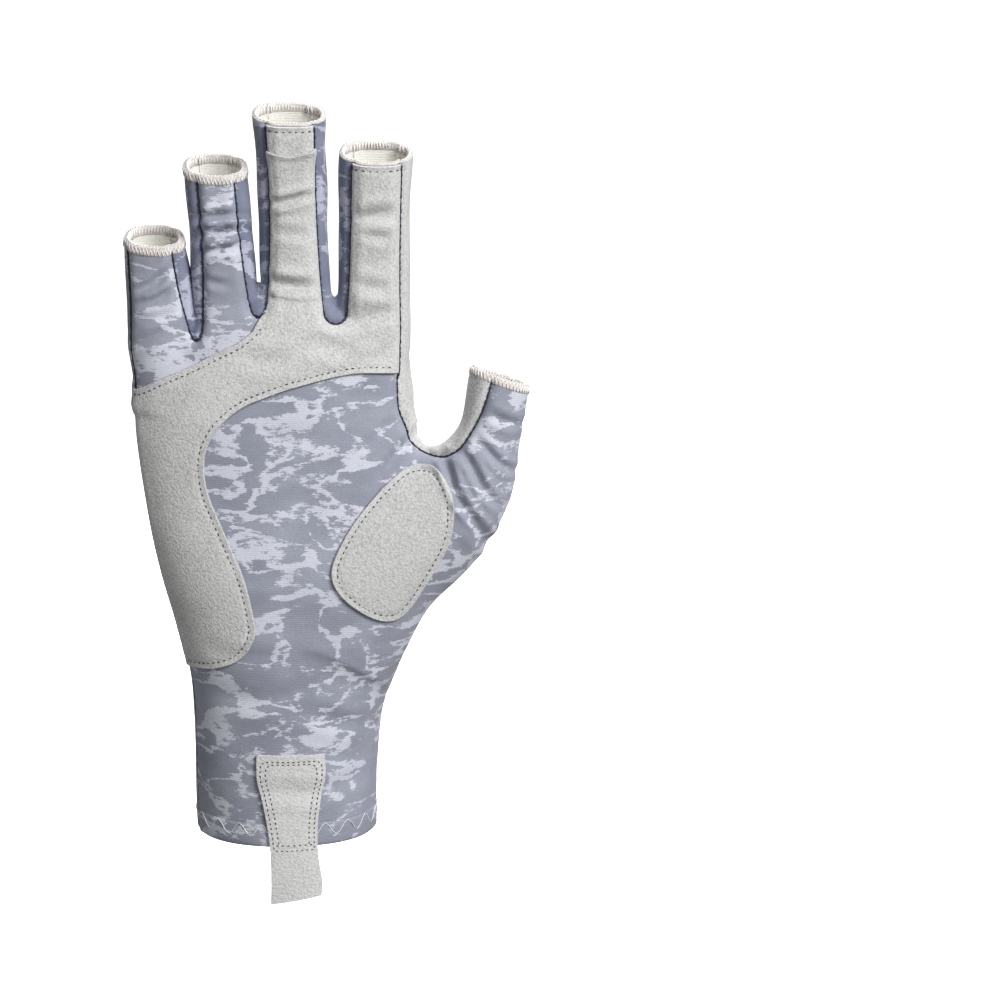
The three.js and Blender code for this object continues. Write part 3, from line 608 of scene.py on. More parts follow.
def keepWhere(columns, triangles, name):
    # the part of a surface where a column is above zero, cut exactly along the line where it is zero.
    # columns is a dictionary of values for each point, its place among them
    above = columns[name] > 0
    count = above[triangles].sum(1)
    groups = []
    ends = []
    for wanted, find in ((1, np.argmax), (2, np.argmin)):
        some = triangles[count == wanted]
        lone = find(above[some], axis=1)
        some = np.take_along_axis(some, (lone[:, None] + np.arange(3)) % 3, 1)
        groups.append(some)
        ends.append(np.stack([some[:, [0, 1]], some[:, [0, 2]]], 1))
    pairs = np.sort(np.vstack(ends).reshape(-1, 2), 1)
    pairs, number = np.unique(pairs, axis=0, return_inverse=True)
    number = number.reshape(-1, 2) + len(above)
    value = columns[name]
    share = value[pairs[:, 0]] / (value[pairs[:, 0]] - value[pairs[:, 1]])
    result = {}
    for key, values in columns.items():
        weight = share[:, None] if values.ndim == 2 else share
        between = values[pairs[:, 0]] * (1 - weight) + values[pairs[:, 1]] * weight
        result[key] = np.concatenate([values, between])
    one, two = groups
    first, second = number[:len(one)], number[len(one):]
    faces = np.vstack([
        triangles[count == 3],
        np.stack([one[:, 0], first[:, 0], first[:, 1]], 1),
        np.stack([second[:, 0], two[:, 1], two[:, 2]], 1),
        np.stack([second[:, 0], two[:, 2], second[:, 1]], 1),
    ])
    used, faces = np.unique(faces, return_inverse=True)
    faces = faces.reshape(-1, 3)
    return {key: values[used] for key, values in result.items()}, faces


def cutPanel(*tests):
    # the hand's surface where all the tests hold. Each is a column, a sign and how far to stay off
    columns = dict(skin, place=skinPoints, normal=skinNormals)
    triangles = skinTriangles
    for name, sign, margin in tests:
        columns["test"] = sign * columns[name] - margin
        columns, triangles = keepWhere(columns, triangles, "test")
    columns["normal"] = unit(columns["normal"])
    return columns, triangles


def dividedInto(line, count):
    # a line again, with its points evenly apart
    gone = np.concatenate([[0], np.cumsum(np.linalg.norm(np.diff(line, axis=0), axis=1))])
    places = np.linspace(0, gone[-1], count + 1)
    return np.stack([np.interp(places, gone, line[:, i]) for i in range(3)], 1)


def evenly(line, step, smooth=2.0):
    # a line with points a step apart, evened out over a short stretch
    short = 0.4
    closed = np.linalg.norm(line[0] - line[-1]) < 1e-6
    count = max(2, round(lengthOf(line) / short))
    fine = dividedInto(line, count)
    half = min(int(smooth / short), count // 3)
    if half:
        if closed:
            padded = np.vstack([fine[-half - 1:-1], fine, fine[1:half + 1]])
        else:
            before = 2 * fine[0] - fine[half:0:-1]
            after = 2 * fine[-1] - fine[-2:-half - 2:-1]
            padded = np.vstack([before, fine, after])
        window = np.ones(2 * half + 1) / (2 * half + 1)
        fine = np.stack([np.convolve(padded[:, i], window, "valid") for i in range(3)], 1)
    return dividedInto(fine, max(1, round(lengthOf(fine) / step)))


def linesWhere(value, keep, shortest=6.0):
    # the lines on the hand's surface where a value passes zero, each as points in order. keep says
    # for points whether they stay
    above = value > 0
    mixed = skinTriangles[above[skinTriangles].any(1) & ~above[skinTriangles].all(1)]
    ends = np.stack([mixed, np.roll(mixed, -1, 1)], 2)
    crosses = above[ends[..., 0]] != above[ends[..., 1]]
    pairs = np.sort(ends[crosses], 1)
    pairs, number = np.unique(pairs, axis=0, return_inverse=True)
    number = number.reshape(-1, 2)
    share = (value[pairs[:, 0]] / (value[pairs[:, 0]] - value[pairs[:, 1]]))[:, None]
    points = skinPoints[pairs[:, 0]] * (1 - share) + skinPoints[pairs[:, 1]] * share
    kept = keep(points)
    beside = {}
    for one, two in number.tolist():
        if kept[one] and kept[two]:
            beside.setdefault(one, []).append(two)
            beside.setdefault(two, []).append(one)
    seen, lines = set(), []
    for start in [spot for spot, others in beside.items() if len(others) == 1] + list(beside):
        if start in seen:
            continue
        line = [start]
        seen.add(start)
        while True:
            onward = [spot for spot in beside[line[-1]] if spot not in seen]
            if not onward:
                break
            line.append(onward[0])
            seen.add(onward[0])
        if len(line) > 2 and start in beside[line[-1]]:
            line.append(start)
        line = points[line]
        if lengthOf(line) > shortest:
            lines.append(line)
    return lines


print("glove: finding the seams")
# How far seams stay off the rims and the cuff's edge, and how far the side seam runs in under others
seamEnds = dict(rims=0.4, cuff=0.5, overlap=0.2)


def underRims(points):
    # below the openings' edges, where the seams show
    return belowRims(points) > seamEnds["rims"]


def alongSide(points):
    # where palm and back meet in a seam of their own, outside the strip and the gussets
    strip = np.where(frontOf(points) > 0, insideOf(points, "stripFront"), insideOf(points, "stripBack"))
    others = np.maximum(strip, insideOf(points, *gussets))
    return underRims(points) & (others < seamEnds["overlap"]) & (points[:, 2] > seamEnds["cuff"])


seams = dict(
    gussets=linesWhere(skin["gussets"], underRims),
    strip=linesWhere(skin["strip"], underRims),
    side=linesWhere(skin["front"], alongSide),
)
seamPoints = np.vstack([evenly(line, 1.0) for lines in seams.values() for line in lines])
for name, lines in seams.items():
    print("glove: seam", name, [round(lengthOf(line)) for line in lines], "mm")


# Folds in the cloth: middle x and z, direction in degrees from +X, half length, half width, depth,
# and the side they are on, 1 for the palm and -1 for the back
folds = (
    (-22, 205, 4, 11, 1.7, 2.3, 1), (-22, 210.5, -6, 10, 1.3, 1.5, 1), (-21, 199.5, 12, 9, 1.3, 0.9, 1),
    (-24, 190, -14, 7, 1.2, 0.5, 1), (-43, 190, 36, 9, 1.3, 1.0, 1), (-43, 184, 22, 8, 1.2, 0.8, 1),
    (-42, 178, 8, 8, 1.2, 0.5, 1), (-46, 171, 30, 8, 1.4, 0.5, 1),
    (0.5, 216.5, 6, 10, 1.2, 1.3, 1), (0.5, 189, 3, 10, 1.8, 1.3, 1), (1, 205, -8, 7, 1.6, 0.4, 1),
    (27.5, 211, 7, 9, 2.1, 1.1, 1), (26, 205, -16, 8, 1.5, 0.45, 1), (29, 197, 18, 7, 2.2, 0.35, 1),
    (27, 187.5, -10, 8, 2.0, 0.45, 1), (28, 179, 5, 9, 2.5, 0.9, 1), (12, 168, -10, 12, 2.4, 0.5, 1),
    (30, 166, 20, 9, 2.2, 0.5, 1), (-6, 165, 6, 12, 2.4, 0.45, 1),
    (63, 126, -52, 15, 1.25, 1.1, 1), (56.5, 121, -63, 17, 1.3, 1.25, 1), (69, 133, -38, 12, 1.2, 0.8, 1),
    (41, 137, 42, 10, 1.6, 0.6, 1), (36, 132, 50, 12, 1.7, 0.5, 1), (31, 141, 30, 10, 1.8, 0.35, 1),
    (72, 146, -20, 8, 1.4, 0.6, 1), (66, 104, -60, 12, 2.2, 0.6, 1), (44, 66, 58, 12, 2.6, 0.6, 1),
    (-8, 52, 6, 22, 3.0, 0.5, 1), (14, 44, -14, 20, 2.6, 0.4, 1), (-12, 66, -10, 16, 2.6, 0.35, 1),
    (8, 20, 4, 26, 2.6, 0.35, 1), (2, 100, 75, 26, 4.0, 0.35, 1), (8, 140, 12, 20, 3.2, 0.35, 1),
    (-30, 168, 28, 9, 1.6, 0.5, -1), (-8, 178, -30, 9, 1.5, 0.5, -1), (16, 172, 34, 11, 1.6, 0.6, -1),
    (28, 205, -10, 9, 1.8, 0.6, -1), (28, 190, 10, 9, 2.0, 0.5, -1), (2, 210, 8, 9, 2.0, 0.5, -1),
    (-22, 205, -8, 8, 1.8, 0.5, -1), (-43, 188, 10, 7, 1.7, 0.5, -1), (4, 150, 8, 24, 3.4, 0.4, -1),
    (-26, 140, -16, 16, 3.0, 0.35, -1), (26, 132, 24, 16, 3.0, 0.35, -1), (-6, 62, 6, 24, 3.2, 0.4, -1),
    (52, 116, -48, 14, 2.2, 0.6, -1), (60, 108, -56, 12, 2.0, 0.5, -1), (8, 44, -8, 22, 2.8, 0.35, -1),
    (20, 96, 50, 18, 3.4, 0.35, -1),
)
relief = dict(
    seamDepth=0.85, seamWidth=1.0, seamSwell=0.35, swellAt=3.2, swellWidth=1.8,
    foldGain=1.45, foldEnds=1.2, bend=0.9, bendLength=4.7,  # a fold winds a little along its length
    bankAt=2.1, bankWidth=0.9, bankHeight=0.55,  # shares of the fold's width and depth
    nearSeam=0.3, seamHold=3, wave=0.26, waveHold=5,  # folds and waves are held down beside the seams
    atOnce=8000,  # points worked out together
)


def reliefAt(points):
    # how far the cloth stands off the hand form: a valley with soft banks along each seam, each fold a
    # valley of a bell curve's section between two lower ridges, and a slow wave of crossing sines
    x, y, z = points.T
    flat = (points ** 2).sum(1)
    seamFlat = (seamPoints ** 2).sum(1)
    away = np.empty(len(points))
    for some in np.array_split(np.arange(len(points)), max(1, len(points) // relief["atOnce"])):
        squares = flat[some, None] + seamFlat - 2 * points[some] @ seamPoints.T
        away[some] = np.sqrt(np.maximum(squares.min(1), 0))
    height = -relief["seamDepth"] * np.exp(-(away / relief["seamWidth"]) ** 2)
    height += relief["seamSwell"] * np.exp(-((away - relief["swellAt"]) / relief["swellWidth"]) ** 2)
    front = frontOf(points)
    soft = np.clip((away - 0.5) / relief["seamHold"], relief["nearSeam"], 1)
    for midX, midZ, turn, half, width, depth, side in folds:
        turn = math.radians(turn)
        along = (x - midX) * math.cos(turn) + (z - midZ) * math.sin(turn)
        across = (z - midZ) * math.cos(turn) - (x - midX) * math.sin(turn)
        across = across + relief["bend"] * np.sin(along / relief["bendLength"] + midZ)
        ends = np.clip(1 - (along / half) ** 2, 0, 1) ** relief["foldEnds"]
        share = soft * ends * np.clip(front * side / 4 + 0.4, 0, 1)
        valley = np.exp(-(across / width) ** 2)
        banks = (np.abs(across) - relief["bankAt"] * width) / (relief["bankWidth"] * width)
        both = relief["bankHeight"] * np.exp(-banks ** 2) - valley
        height += relief["foldGain"] * depth * share * both
    calm = np.clip((away - 1) / relief["waveHold"], 0, 1)
    wave = np.sin(x / 5.1 + z / 9.3 + y / 6) + np.sin(z / 6.7 - x / 11 + 2)
    wave = wave + np.sin(x / 3.4 - z / 4.9 + y / 5)
    return height + relief["wave"] * calm * wave / 1.6


def addMesh(name, points, groups, materials, sharp=None):
    # a mesh from points in millimetres and groups of faces, each with its material's number. sharp
    # lists the pairs of points whose edges stay crisp
    mesh = bpy.data.meshes.new(name)
    mesh.vertices.add(len(points))
    mesh.vertices.foreach_set("co", (np.asarray(points) * milli).ravel())
    corners = np.concatenate([faces.ravel() for faces, _ in groups])
    sizes = np.concatenate([np.full(len(faces), faces.shape[1]) for faces, _ in groups])
    mesh.loops.add(len(corners))
    mesh.loops.foreach_set("vertex_index", corners.astype(np.int32))
    mesh.polygons.add(len(sizes))
    mesh.polygons.foreach_set("loop_start", (np.cumsum(sizes) - sizes).astype(np.int32))
    numbers = np.concatenate([np.full(len(faces), number) for faces, number in groups])
    mesh.polygons.foreach_set("material_index", numbers.astype(np.int32))
    mesh.polygons.foreach_set("use_smooth", np.ones(len(sizes), bool))
    mesh.update(calc_edges=True)
    if sharp is not None:
        pairs = np.empty(2 * len(mesh.edges), np.int32)
        mesh.edges.foreach_get("vertices", pairs)
        pairs = np.sort(pairs.reshape(-1, 2), 1).astype(np.int64)
        wanted = np.sort(sharp, 1).astype(np.int64)
        crisp = np.isin(pairs[:, 0] * len(points) + pairs[:, 1], wanted[:, 0] * len(points) + wanted[:, 1])
        mesh.attributes.new("sharp_edge", "BOOLEAN", "EDGE").data.foreach_set("value", crisp)
    for material in materials:
        mesh.materials.append(material)
    piece = bpy.data.objects.new(name, mesh)
    bpy.context.collection.objects.link(piece)
    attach(piece, "root")
    return piece


def clothFrom(name, columns, triangles, top, under, materials, bulge=0.25):
    # a panel of cloth: the surface lifted by top, the same surface lifted by under with its faces
    # turned round, and along the border a rim of two rows that bulges a little
    place, normal = columns["place"], columns["normal"]
    count = len(place)
    ends = np.vstack([triangles[:, [0, 1]], triangles[:, [1, 2]], triangles[:, [2, 0]]]).astype(np.int64)
    key = np.sort(ends, 1)
    key = key[:, 0] * count + key[:, 1]
    _, first, uses = np.unique(key, return_index=True, return_counts=True)
    border = ends[first[uses == 1]]
    spots, number = np.unique(border, return_inverse=True)
    number = number.reshape(-1, 2)
    along = place[border[:, 1]] - place[border[:, 0]]
    outward = np.zeros((len(spots), 3))
    for side in (0, 1):
        np.add.at(outward, number[:, side], np.cross(along, normal[border[:, side]]))
    outward = unit(outward)
    upper = place + normal * (top * np.ones(count))[:, None]
    lower = place + normal * (under * np.ones(count))[:, None]
    middle = (upper[spots] + lower[spots]) / 2 + outward * bulge
    points = np.vstack([upper, lower, middle])
    rim = number + 2 * count
    quads = np.vstack([
        np.stack([border[:, 0], rim[:, 0], rim[:, 1], border[:, 1]], 1),
        np.stack([rim[:, 0], border[:, 0] + count, border[:, 1] + count, rim[:, 1]], 1),
    ])
    groups = [(triangles, 0), (triangles[:, ::-1] + count, len(materials) - 1), (quads, 0)]
    piece = addMesh(name, points, groups, materials, sharp=np.vstack([border, border + count]))
    area = np.linalg.norm(np.cross(
        upper[triangles[:, 1]] - upper[triangles[:, 0]], upper[triangles[:, 2]] - upper[triangles[:, 0]]
    ), axis=1).sum() / 2
    print("glove:", name, len(triangles) * 2 + len(quads) * 2, "triangles,", round(float(area)), "square mm")
    return piece


def colour(code):
    # an sRGB hex value as linear light
    levels = [int(code[i:i + 2], 16) / 255 for i in (1, 3, 5)]
    linear = [level / 12.92 if level <= 0.04045 else ((level + 0.055) / 1.055) ** 2.4 for level in levels]
    return [*linear, 1]


def addNode(tree, kind, links=None, give=0, **settings):
    # adds one node and gives one of its outputs. settings are its properties, links give its sockets
    # a value or another node's output
    node = tree.nodes.new(kind)
    for name, value in settings.items():
        setattr(node, name, value)
    for socket, value in (links or {}).items():
        if isinstance(value, bpy.types.NodeSocket):
            tree.links.new(value, node.inputs[socket])
        else:
            node.inputs[socket].default_value = value
    return node.outputs[give] if node.outputs else node


def startMaterial(name, patterns=None):
    # an empty material, its tree, the place on the piece in metres, and its cloudy noises. patterns
    # gives for each the sizes of its clouds in millimetres along x, y and z, detail, roughness, where
    # it starts and how much it is warped
    material = bpy.data.materials.new(name)
    material.use_nodes = True
    tree = material.node_tree
    tree.nodes.clear()
    place = addNode(tree, "ShaderNodeTexCoord", give="Object")
    clouds = {}
    for pattern, (sizes, detail, rough, shift, warp) in (patterns or {}).items():
        scaled = addNode(tree, "ShaderNodeMapping", {
            "Vector": place, "Location": shift, "Scale": [1000 / size for size in sizes],
        })
        clouds[pattern] = addNode(tree, "ShaderNodeTexNoise", {
            "Vector": scaled, "Scale": 1.0, "Detail": detail, "Roughness": rough, "Distortion": warp,
        })
    return material, tree, place, clouds


def finishCloth(tree, shade, height, depth, strength, roughness, sheen, gloss):
    # a matt shader with the given colour and relief, in metres
    raised = addNode(tree, "ShaderNodeBump", {"Height": height, "Strength": strength, "Distance": depth})
    cloth = addNode(tree, "ShaderNodeBsdfPrincipled", {
        "Base Color": shade, "Normal": raised, "Roughness": roughness, "Sheen Weight": sheen,
        "Sheen Roughness": 0.5, "Specular IOR Level": gloss,
    })
    addNode(tree, "ShaderNodeOutputMaterial", {"Surface": cloth})


# Polyester interlock knit with a sublimation print: matt and even. Light ragged veins run between
# darker islands, wider than they are high, and their edges are torn sideways along the knit's rows.
# The stitches, 0.35 mm in the real cloth, are drawn at 0.7 mm to show
printPatterns = dict(
    islands=((22, 22, 11.5), 2.0, 0.55, (3.1, 0.7, 5.2), 0.5),
    width=((15, 15, 9), 2.0, 0.5, (8.3, 2.2, 1.4), 0.0),
    torn=((4, 4, 1.4), 5.0, 0.8, (5, 3, 8), 0.0),
    darker=((26, 26, 15), 3.0, 0.6, (1.5, 4.4, 9.1), 0.3),
    grain=((0.8, 0.8, 0.4), 2.0, 0.7, (0, 0, 0), 0.0),
)
bandsInMetre = 1000 * 0.314  # the wave texture's scale for one band a millimetre


def printedKnit(name, codes, widest):
    material, tree, place, clouds = startMaterial(name, printPatterns)
    off = addNode(tree, "ShaderNodeMath", {0: clouds["islands"], 1: 0.5}, operation="SUBTRACT")
    off = addNode(tree, "ShaderNodeMath", {0: off}, operation="ABSOLUTE")
    width = addNode(tree, "ShaderNodeMapRange", {
        "Value": clouds["width"], "From Min": 0.36, "From Max": 0.66, "To Min": 0.0, "To Max": widest,
    })
    torn = addNode(tree, "ShaderNodeMapRange", {
        "Value": clouds["torn"], "From Min": 0.3, "From Max": 0.7, "To Min": -0.066, "To Max": 0.066,
    })
    level = addNode(tree, "ShaderNodeMath", {0: width, 1: torn}, operation="ADD")
    level = addNode(tree, "ShaderNodeMath", {0: level, 1: off}, operation="SUBTRACT")
    light = addNode(tree, "ShaderNodeMapRange", {"Value": level, "From Min": -0.003, "From Max": 0.003})
    darker = addNode(tree, "ShaderNodeMapRange", {
        "Value": clouds["darker"], "From Min": 0.4, "From Max": 0.62,
    })
    dark, middle, pale = (colour(code) for code in codes)
    shade = addNode(tree, "ShaderNodeMix", {0: darker, 6: middle, 7: dark}, 2, data_type="RGBA")
    shade = addNode(tree, "ShaderNodeMix", {0: light, 6: shade, 7: pale}, 2, data_type="RGBA")
    speck = addNode(tree, "ShaderNodeMapRange", {
        "Value": clouds["grain"], "From Min": 0.3, "From Max": 0.7, "To Min": 0.91, "To Max": 1.09,
    })
    shade = addNode(tree, "ShaderNodeMix", {
        0: 1.0, 6: shade, 7: speck,
    }, 2, data_type="RGBA", blend_type="MULTIPLY")
    rows = addNode(tree, "ShaderNodeTexWave", {
        "Vector": place, "Scale": bandsInMetre / 0.7, "Distortion": 0.6, "Detail": 1.0,
    }, 1, bands_direction="Z")
    height = addNode(tree, "ShaderNodeMath", {
        0: rows, 1: 0.35, 2: clouds["grain"],
    }, operation="MULTIPLY_ADD")
    finishCloth(tree, shade, height, depth=0.00018, strength=0.45, roughness=0.8, sheen=0.12, gloss=0.25)
    return material


# Microfibre suede, buffed: a short nap that lies in small clouds, with darker pits between them
suedePatterns = dict(
    nap=((0.85, 0.85, 0.85), 3.0, 0.62, (0, 0, 0), 0.0),
    drift=((16, 16, 12), 2.0, 0.5, (2, 5, 1), 0.0),
    fine=((0.5, 0.5, 0.5), 2.0, 0.6, (4, 1, 7), 0.0),
)


def buffedSuede(name, codes):
    material, tree, _, clouds = startMaterial(name, suedePatterns)
    base, pit, pale = (colour(code) for code in codes)
    low = addNode(tree, "ShaderNodeMapRange", {"Value": clouds["nap"], "From Min": 0.32, "From Max": 0.52})
    shade = addNode(tree, "ShaderNodeMix", {0: low, 6: pit, 7: base}, 2, data_type="RGBA")
    high = addNode(tree, "ShaderNodeMapRange", {"Value": clouds["nap"], "From Min": 0.5, "From Max": 0.7})
    shade = addNode(tree, "ShaderNodeMix", {0: high, 6: shade, 7: pale}, 2, data_type="RGBA")
    drift = addNode(tree, "ShaderNodeMapRange", {
        "Value": clouds["drift"], "From Min": 0.35, "From Max": 0.65, "To Max": 0.3,
    })
    shade = addNode(tree, "ShaderNodeMix", {0: drift, 6: shade, 7: pale}, 2, data_type="RGBA")
    height = addNode(tree, "ShaderNodeMath", {
        0: clouds["fine"], 1: 0.35, 2: clouds["nap"],
    }, operation="MULTIPLY_ADD")
    finishCloth(tree, shade, height, depth=0.0006, strength=0.7, roughness=0.95, sheen=0.2, gloss=0.15)
    return material


# Undyed knit, as on the inside of the print and in the binding: fine rows under a soft nap
# in the binding it is greyer, as painted shade inside the openings
def undyedKnit(name, codes, row):
    grain = ((1.1, 1.1, 0.5), 3.0, 0.65, (0, 0, 0), 0.0)
    material, tree, place, clouds = startMaterial(name, dict(grain=grain))
    base, shadow = (colour(code) for code in codes)
    share = addNode(tree, "ShaderNodeMapRange", {
        "Value": clouds["grain"], "From Min": 0.32, "From Max": 0.6,
    })
    shade = addNode(tree, "ShaderNodeMix", {0: share, 6: shadow, 7: base}, 2, data_type="RGBA")
    rows = addNode(tree, "ShaderNodeTexWave", {
        "Vector": place, "Scale": bandsInMetre / row, "Distortion": 0.8, "Detail": 1.0,
    }, 1, bands_direction="Z")
    height = addNode(tree, "ShaderNodeMath", {0: rows, 1: clouds["grain"]}, operation="ADD")
    finishCloth(tree, shade, height, depth=0.0002, strength=0.22, roughness=0.85, sheen=0.15, gloss=0.2)
    return material


# Spun polyester sewing thread: a slight gloss, and the twist as a fine change of shade
def spunThread(name, codes):
    twist = ((0.35, 0.35, 0.35), 2.0, 0.6, (0, 0, 0), 0.0)
    material, tree, _, clouds = startMaterial(name, dict(twist=twist))
    base, shadow = (colour(code) for code in codes)
    share = addNode(tree, "ShaderNodeMapRange", {
        "Value": clouds["twist"], "From Min": 0.35, "From Max": 0.65,
    })
    shade = addNode(tree, "ShaderNodeMix", {0: share, 6: shadow, 7: base}, 2, data_type="RGBA")
    finishCloth(
        tree, shade, clouds["twist"], depth=0.0001, strength=0.4, roughness=0.6, sheen=0.1, gloss=0.4
    )
    return material


print("glove: mixing the materials")
printed = printedKnit("printed polyester knit", ("#8a8d9a", "#989ba8", "#c6c8d3"), 0.064)
# the gussets get the same print in darker tones: painted shade between the fingers
gussetPrintInShade = printedKnit("printed polyester knit of the gussets", ("#70748a", "#7f8396", "#afb2c2"), 0.08)
grip = buffedSuede("buffed microfibre suede", ("#c4c4c3", "#a9a9a8", "#d2d2d1"))
tabSuede = buffedSuede("buffed microfibre suede of the tab", ("#d1d1d0", "#bcbcbb", "#dcdcdb"))
lining = undyedKnit("undyed knit inside", ("#e3e2db", "#d6d5cd"), 0.8)
# the binding is the same knit in greyer tones: painted shade in the gaps between the overlock teeth
binding = undyedKnit("knit binding, greyed as painted shade", ("#cfcac6", "#b5afac"), 0.7)
navy = spunThread("navy sewing thread", ("#2b2f48", "#191c2e"))
slate = spunThread("slate sewing thread", ("#54565f", "#383a44"))
cream = spunThread("cream overlock thread", ("#f1edea", "#ded8d3"))
white = spunThread("white cuff thread", ("#eeeef0", "#d2d3d8"))


def besideSuede(points):
    # how much higher a seam lies where the suede runs up to it
    near = insideOf(points, "patch", "band") > -suede["besideReach"]
    return suede["beside"] * (near & (frontOf(points) > 0.5))


# One stitch: places along it and its thickness there, as shares, how flat it is, how far its ends dip
stitch = dict(
    places=(-0.5, -0.42, -0.2, 0.2, 0.42, 0.5), thick=(0.0, 0.72, 1.0, 1.0, 0.72, 0.0),
    sides=6, flatness=0.35, dip=0.22,
)


def stitches(name, lines, material, height, pitch, length, width, lift=None):
    # sewn stitches along lines on the hand's surface, each a grain bent down into the cloth at both
    # ends. lift gives how much higher some of them lie
    spots, alongs = [], []
    for line in lines:
        line = evenly(line, pitch)
        spots.append((line[1:] + line[:-1]) / 2)
        alongs.append(np.diff(line, axis=0))
    spots, along = np.vstack(spots), np.vstack(alongs)
    spots, up = settle(spots, 2)
    along -= up * (along * up).sum(1)[:, None]
    along = unit(along)
    side = np.cross(up, along)
    spots = spots + up * (reliefAt(spots) + height)[:, None]
    if lift:
        spots += up * lift(spots)[:, None]
    places, thick, sides = np.array(stitch["places"]), stitch["thick"], stitch["sides"]
    turn = np.arange(sides) / sides * 2 * math.pi
    dip = np.repeat((2 * places) ** 4, sides) * stitch["dip"]
    grain = np.stack([
        np.repeat(places * length, sides),
        np.outer(thick, np.cos(turn)).ravel() * width / 2,
        np.outer(thick, np.sin(turn)).ravel() * width * stitch["flatness"] - dip,
    ], 1)
    axes = np.stack([along, side, up], 1)
    points = (spots[:, None] + grain @ axes).reshape(-1, 3)
    faces = gridFaces(len(places), sides, False)[:, ::-1]
    faces = (faces[None] + len(grain) * np.arange(len(spots))[:, None, None]).reshape(-1, 4)
    print("glove:", name, len(spots), "stitches")
    piece = addMesh(name, points, [(faces, 0)], [material])


def threads(name, paths, radius, material, sides=6):
    # threads as one piece: a circle carried along each path. A path is its points, their upward
    # directions and whether it closes
    points, faces, count = [], [], 0
    turn = np.arange(sides) / sides * 2 * math.pi
    for path, up, closed in paths:
        step = unit(np.roll(path, -1, 0) - np.roll(path, 1, 0) if closed else np.gradient(path, axis=0))
        side = unit(np.cross(up, step))
        over = np.cross(step, side)
        ring = side[:, None] * np.cos(turn)[None, :, None] + over[:, None] * np.sin(turn)[None, :, None]
        if not closed:
            # the ends close to a point
            ring[[0, -1]] = 0
        points.append((path[:, None] + radius * ring).reshape(-1, 3))
        faces.append(count + gridFaces(len(path), sides, closed)[:, [0, 3, 2, 1]])
        count += len(path) * sides
    print("glove:", name, 2 * sum(len(some) for some in faces), "triangles")
    piece = addMesh(name, np.vstack(points), [(np.vstack(faces), 0)], [material])


def laidAlong(line, height, step=0.8):
    # a line brought onto the hand's surface at a height over the cloth, with its upward directions
    closed = np.linalg.norm(line[0] - line[-1]) < 1e-6
    line = evenly(line, step)
    if closed:
        line = line[:-1]
    line, up = settle(line, 2)
    return line + up * (reliefAt(line) + height + besideSuede(line))[:, None], up, closed


print("glove: cutting the knit panels")
knit = dict(wall=1.2, leastWall=0.75, rimDrop=0.36, hemTop=8.5, seamGap=0.08, stripLift=0.05)


def wornCloth(node):
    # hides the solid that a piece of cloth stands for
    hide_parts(node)


def knitWall(cut):
    # heights of a panel's outer and inner side: the inner one is even, apart from where a fold nears it
    top = reliefAt(cut["place"])
    return top, np.minimum(-knit["wall"], top - knit["leastWall"])


for node, side in (("palm_panel", 1), ("back_panel", -1)):
    cut, faces = cutPanel(
        ("front", side, knit["seamGap"]), ("gussets", -1, knit["seamGap"]), ("strip", -1, knit["seamGap"]),
        ("rims", 1, knit["rimDrop"]), ("height", 1, knit["hemTop"]),
    )
    top, under = knitWall(cut)
    clothFrom(node.replace("panel", "knit"), cut, faces, top, under, [printed, lining])
for node in gussets:
    cut, faces = cutPanel((node, 1, knit["seamGap"]), ("rims", 1, knit["rimDrop"]))
    top, under = knitWall(cut)
    piece = clothFrom(node + "_knit", cut, faces, top, under, [gussetPrintInShade, lining])
    wornCloth(node)
cut, faces = cutPanel(("strip", 1, knit["seamGap"]), ("rims", 1, knit["rimDrop"]))
top, under = knitWall(cut)
piece = clothFrom("web_strip_suede", cut, faces, top + knit["stripLift"], under, [grip, lining])
wornCloth("web_strip")

print("glove: laying the suede on")
slitHeight = float(fingerAt("middle", 1)["z"]) - suede["slitDrop"]


def lipLift(place):
    # the lip of the slit stands off the finger, more so towards the index finger
    x, _, z = place.T
    near = np.exp(-np.clip(slitHeight - z, 0, 90) / suede["lipReach"]) * (np.abs(x) < suede["lipHalf"])
    corner = np.clip(np.abs(x) / suede["lipCorner"], 0, 1) ** 4
    lift = suede["lipLift"] + suede["lipTilt"] * np.clip(x, -10, 12)
    return near * lift * (1 - suede["cornerDrop"] * corner)


def suedeLayer(node, column, tests, lift=None):
    # a layer of suede over the knit, pinched where the stitches inside its cut edge hold it
    cut, faces = cutPanel((column, 1, 0.0), *tests)
    place = cut["place"]
    edge = (cut[column] - suede["stitchInset"]) / suede["pinchWidth"]
    rim = (cut["rims"] - suede["rimStitch"]) / suede["pinchWidth"]
    pinch = np.maximum(np.exp(-edge ** 2) * (cut["front"] > 1.5), np.exp(-rim ** 2))
    under = reliefAt(place) + suede["gap"] + (0 if lift is None else lift(place))
    top = under + suede["wall"] * (1 - suede["pinchDepth"] * pinch)
    piece = clothFrom(node + "_suede", cut, faces, top, under, [grip], suede["bulge"])
    wornCloth(node)


onPalm, offRims = ("front", 1, suede["sideGap"]), ("rims", 1, suede["rimGap"])
suedeLayer("palm_patch", "patch", [onPalm, offRims], lipLift)
suedeLayer("thumb_pad", "pad", [onPalm])
suedeLayer("middle_tip_band", "band", [onPalm, offRims])

print("glove: binding the openings")
hems = dict(
    turns=132,
    tall=dict(drop=2.4, stand=0.14), low=dict(drop=0.48, stand=0.06),  # the outer leg, and how far off it is
    inner=2.6, wall=0.22, toothPitch=1.3, toothRadius=0.24,
    little="tall", ring="tall", middle="low", index="low", thumb="tall",
    outerFollows=0.75, innerFollows=0.25, innerBelow=-0.6,  # shares of the cloth's relief
)


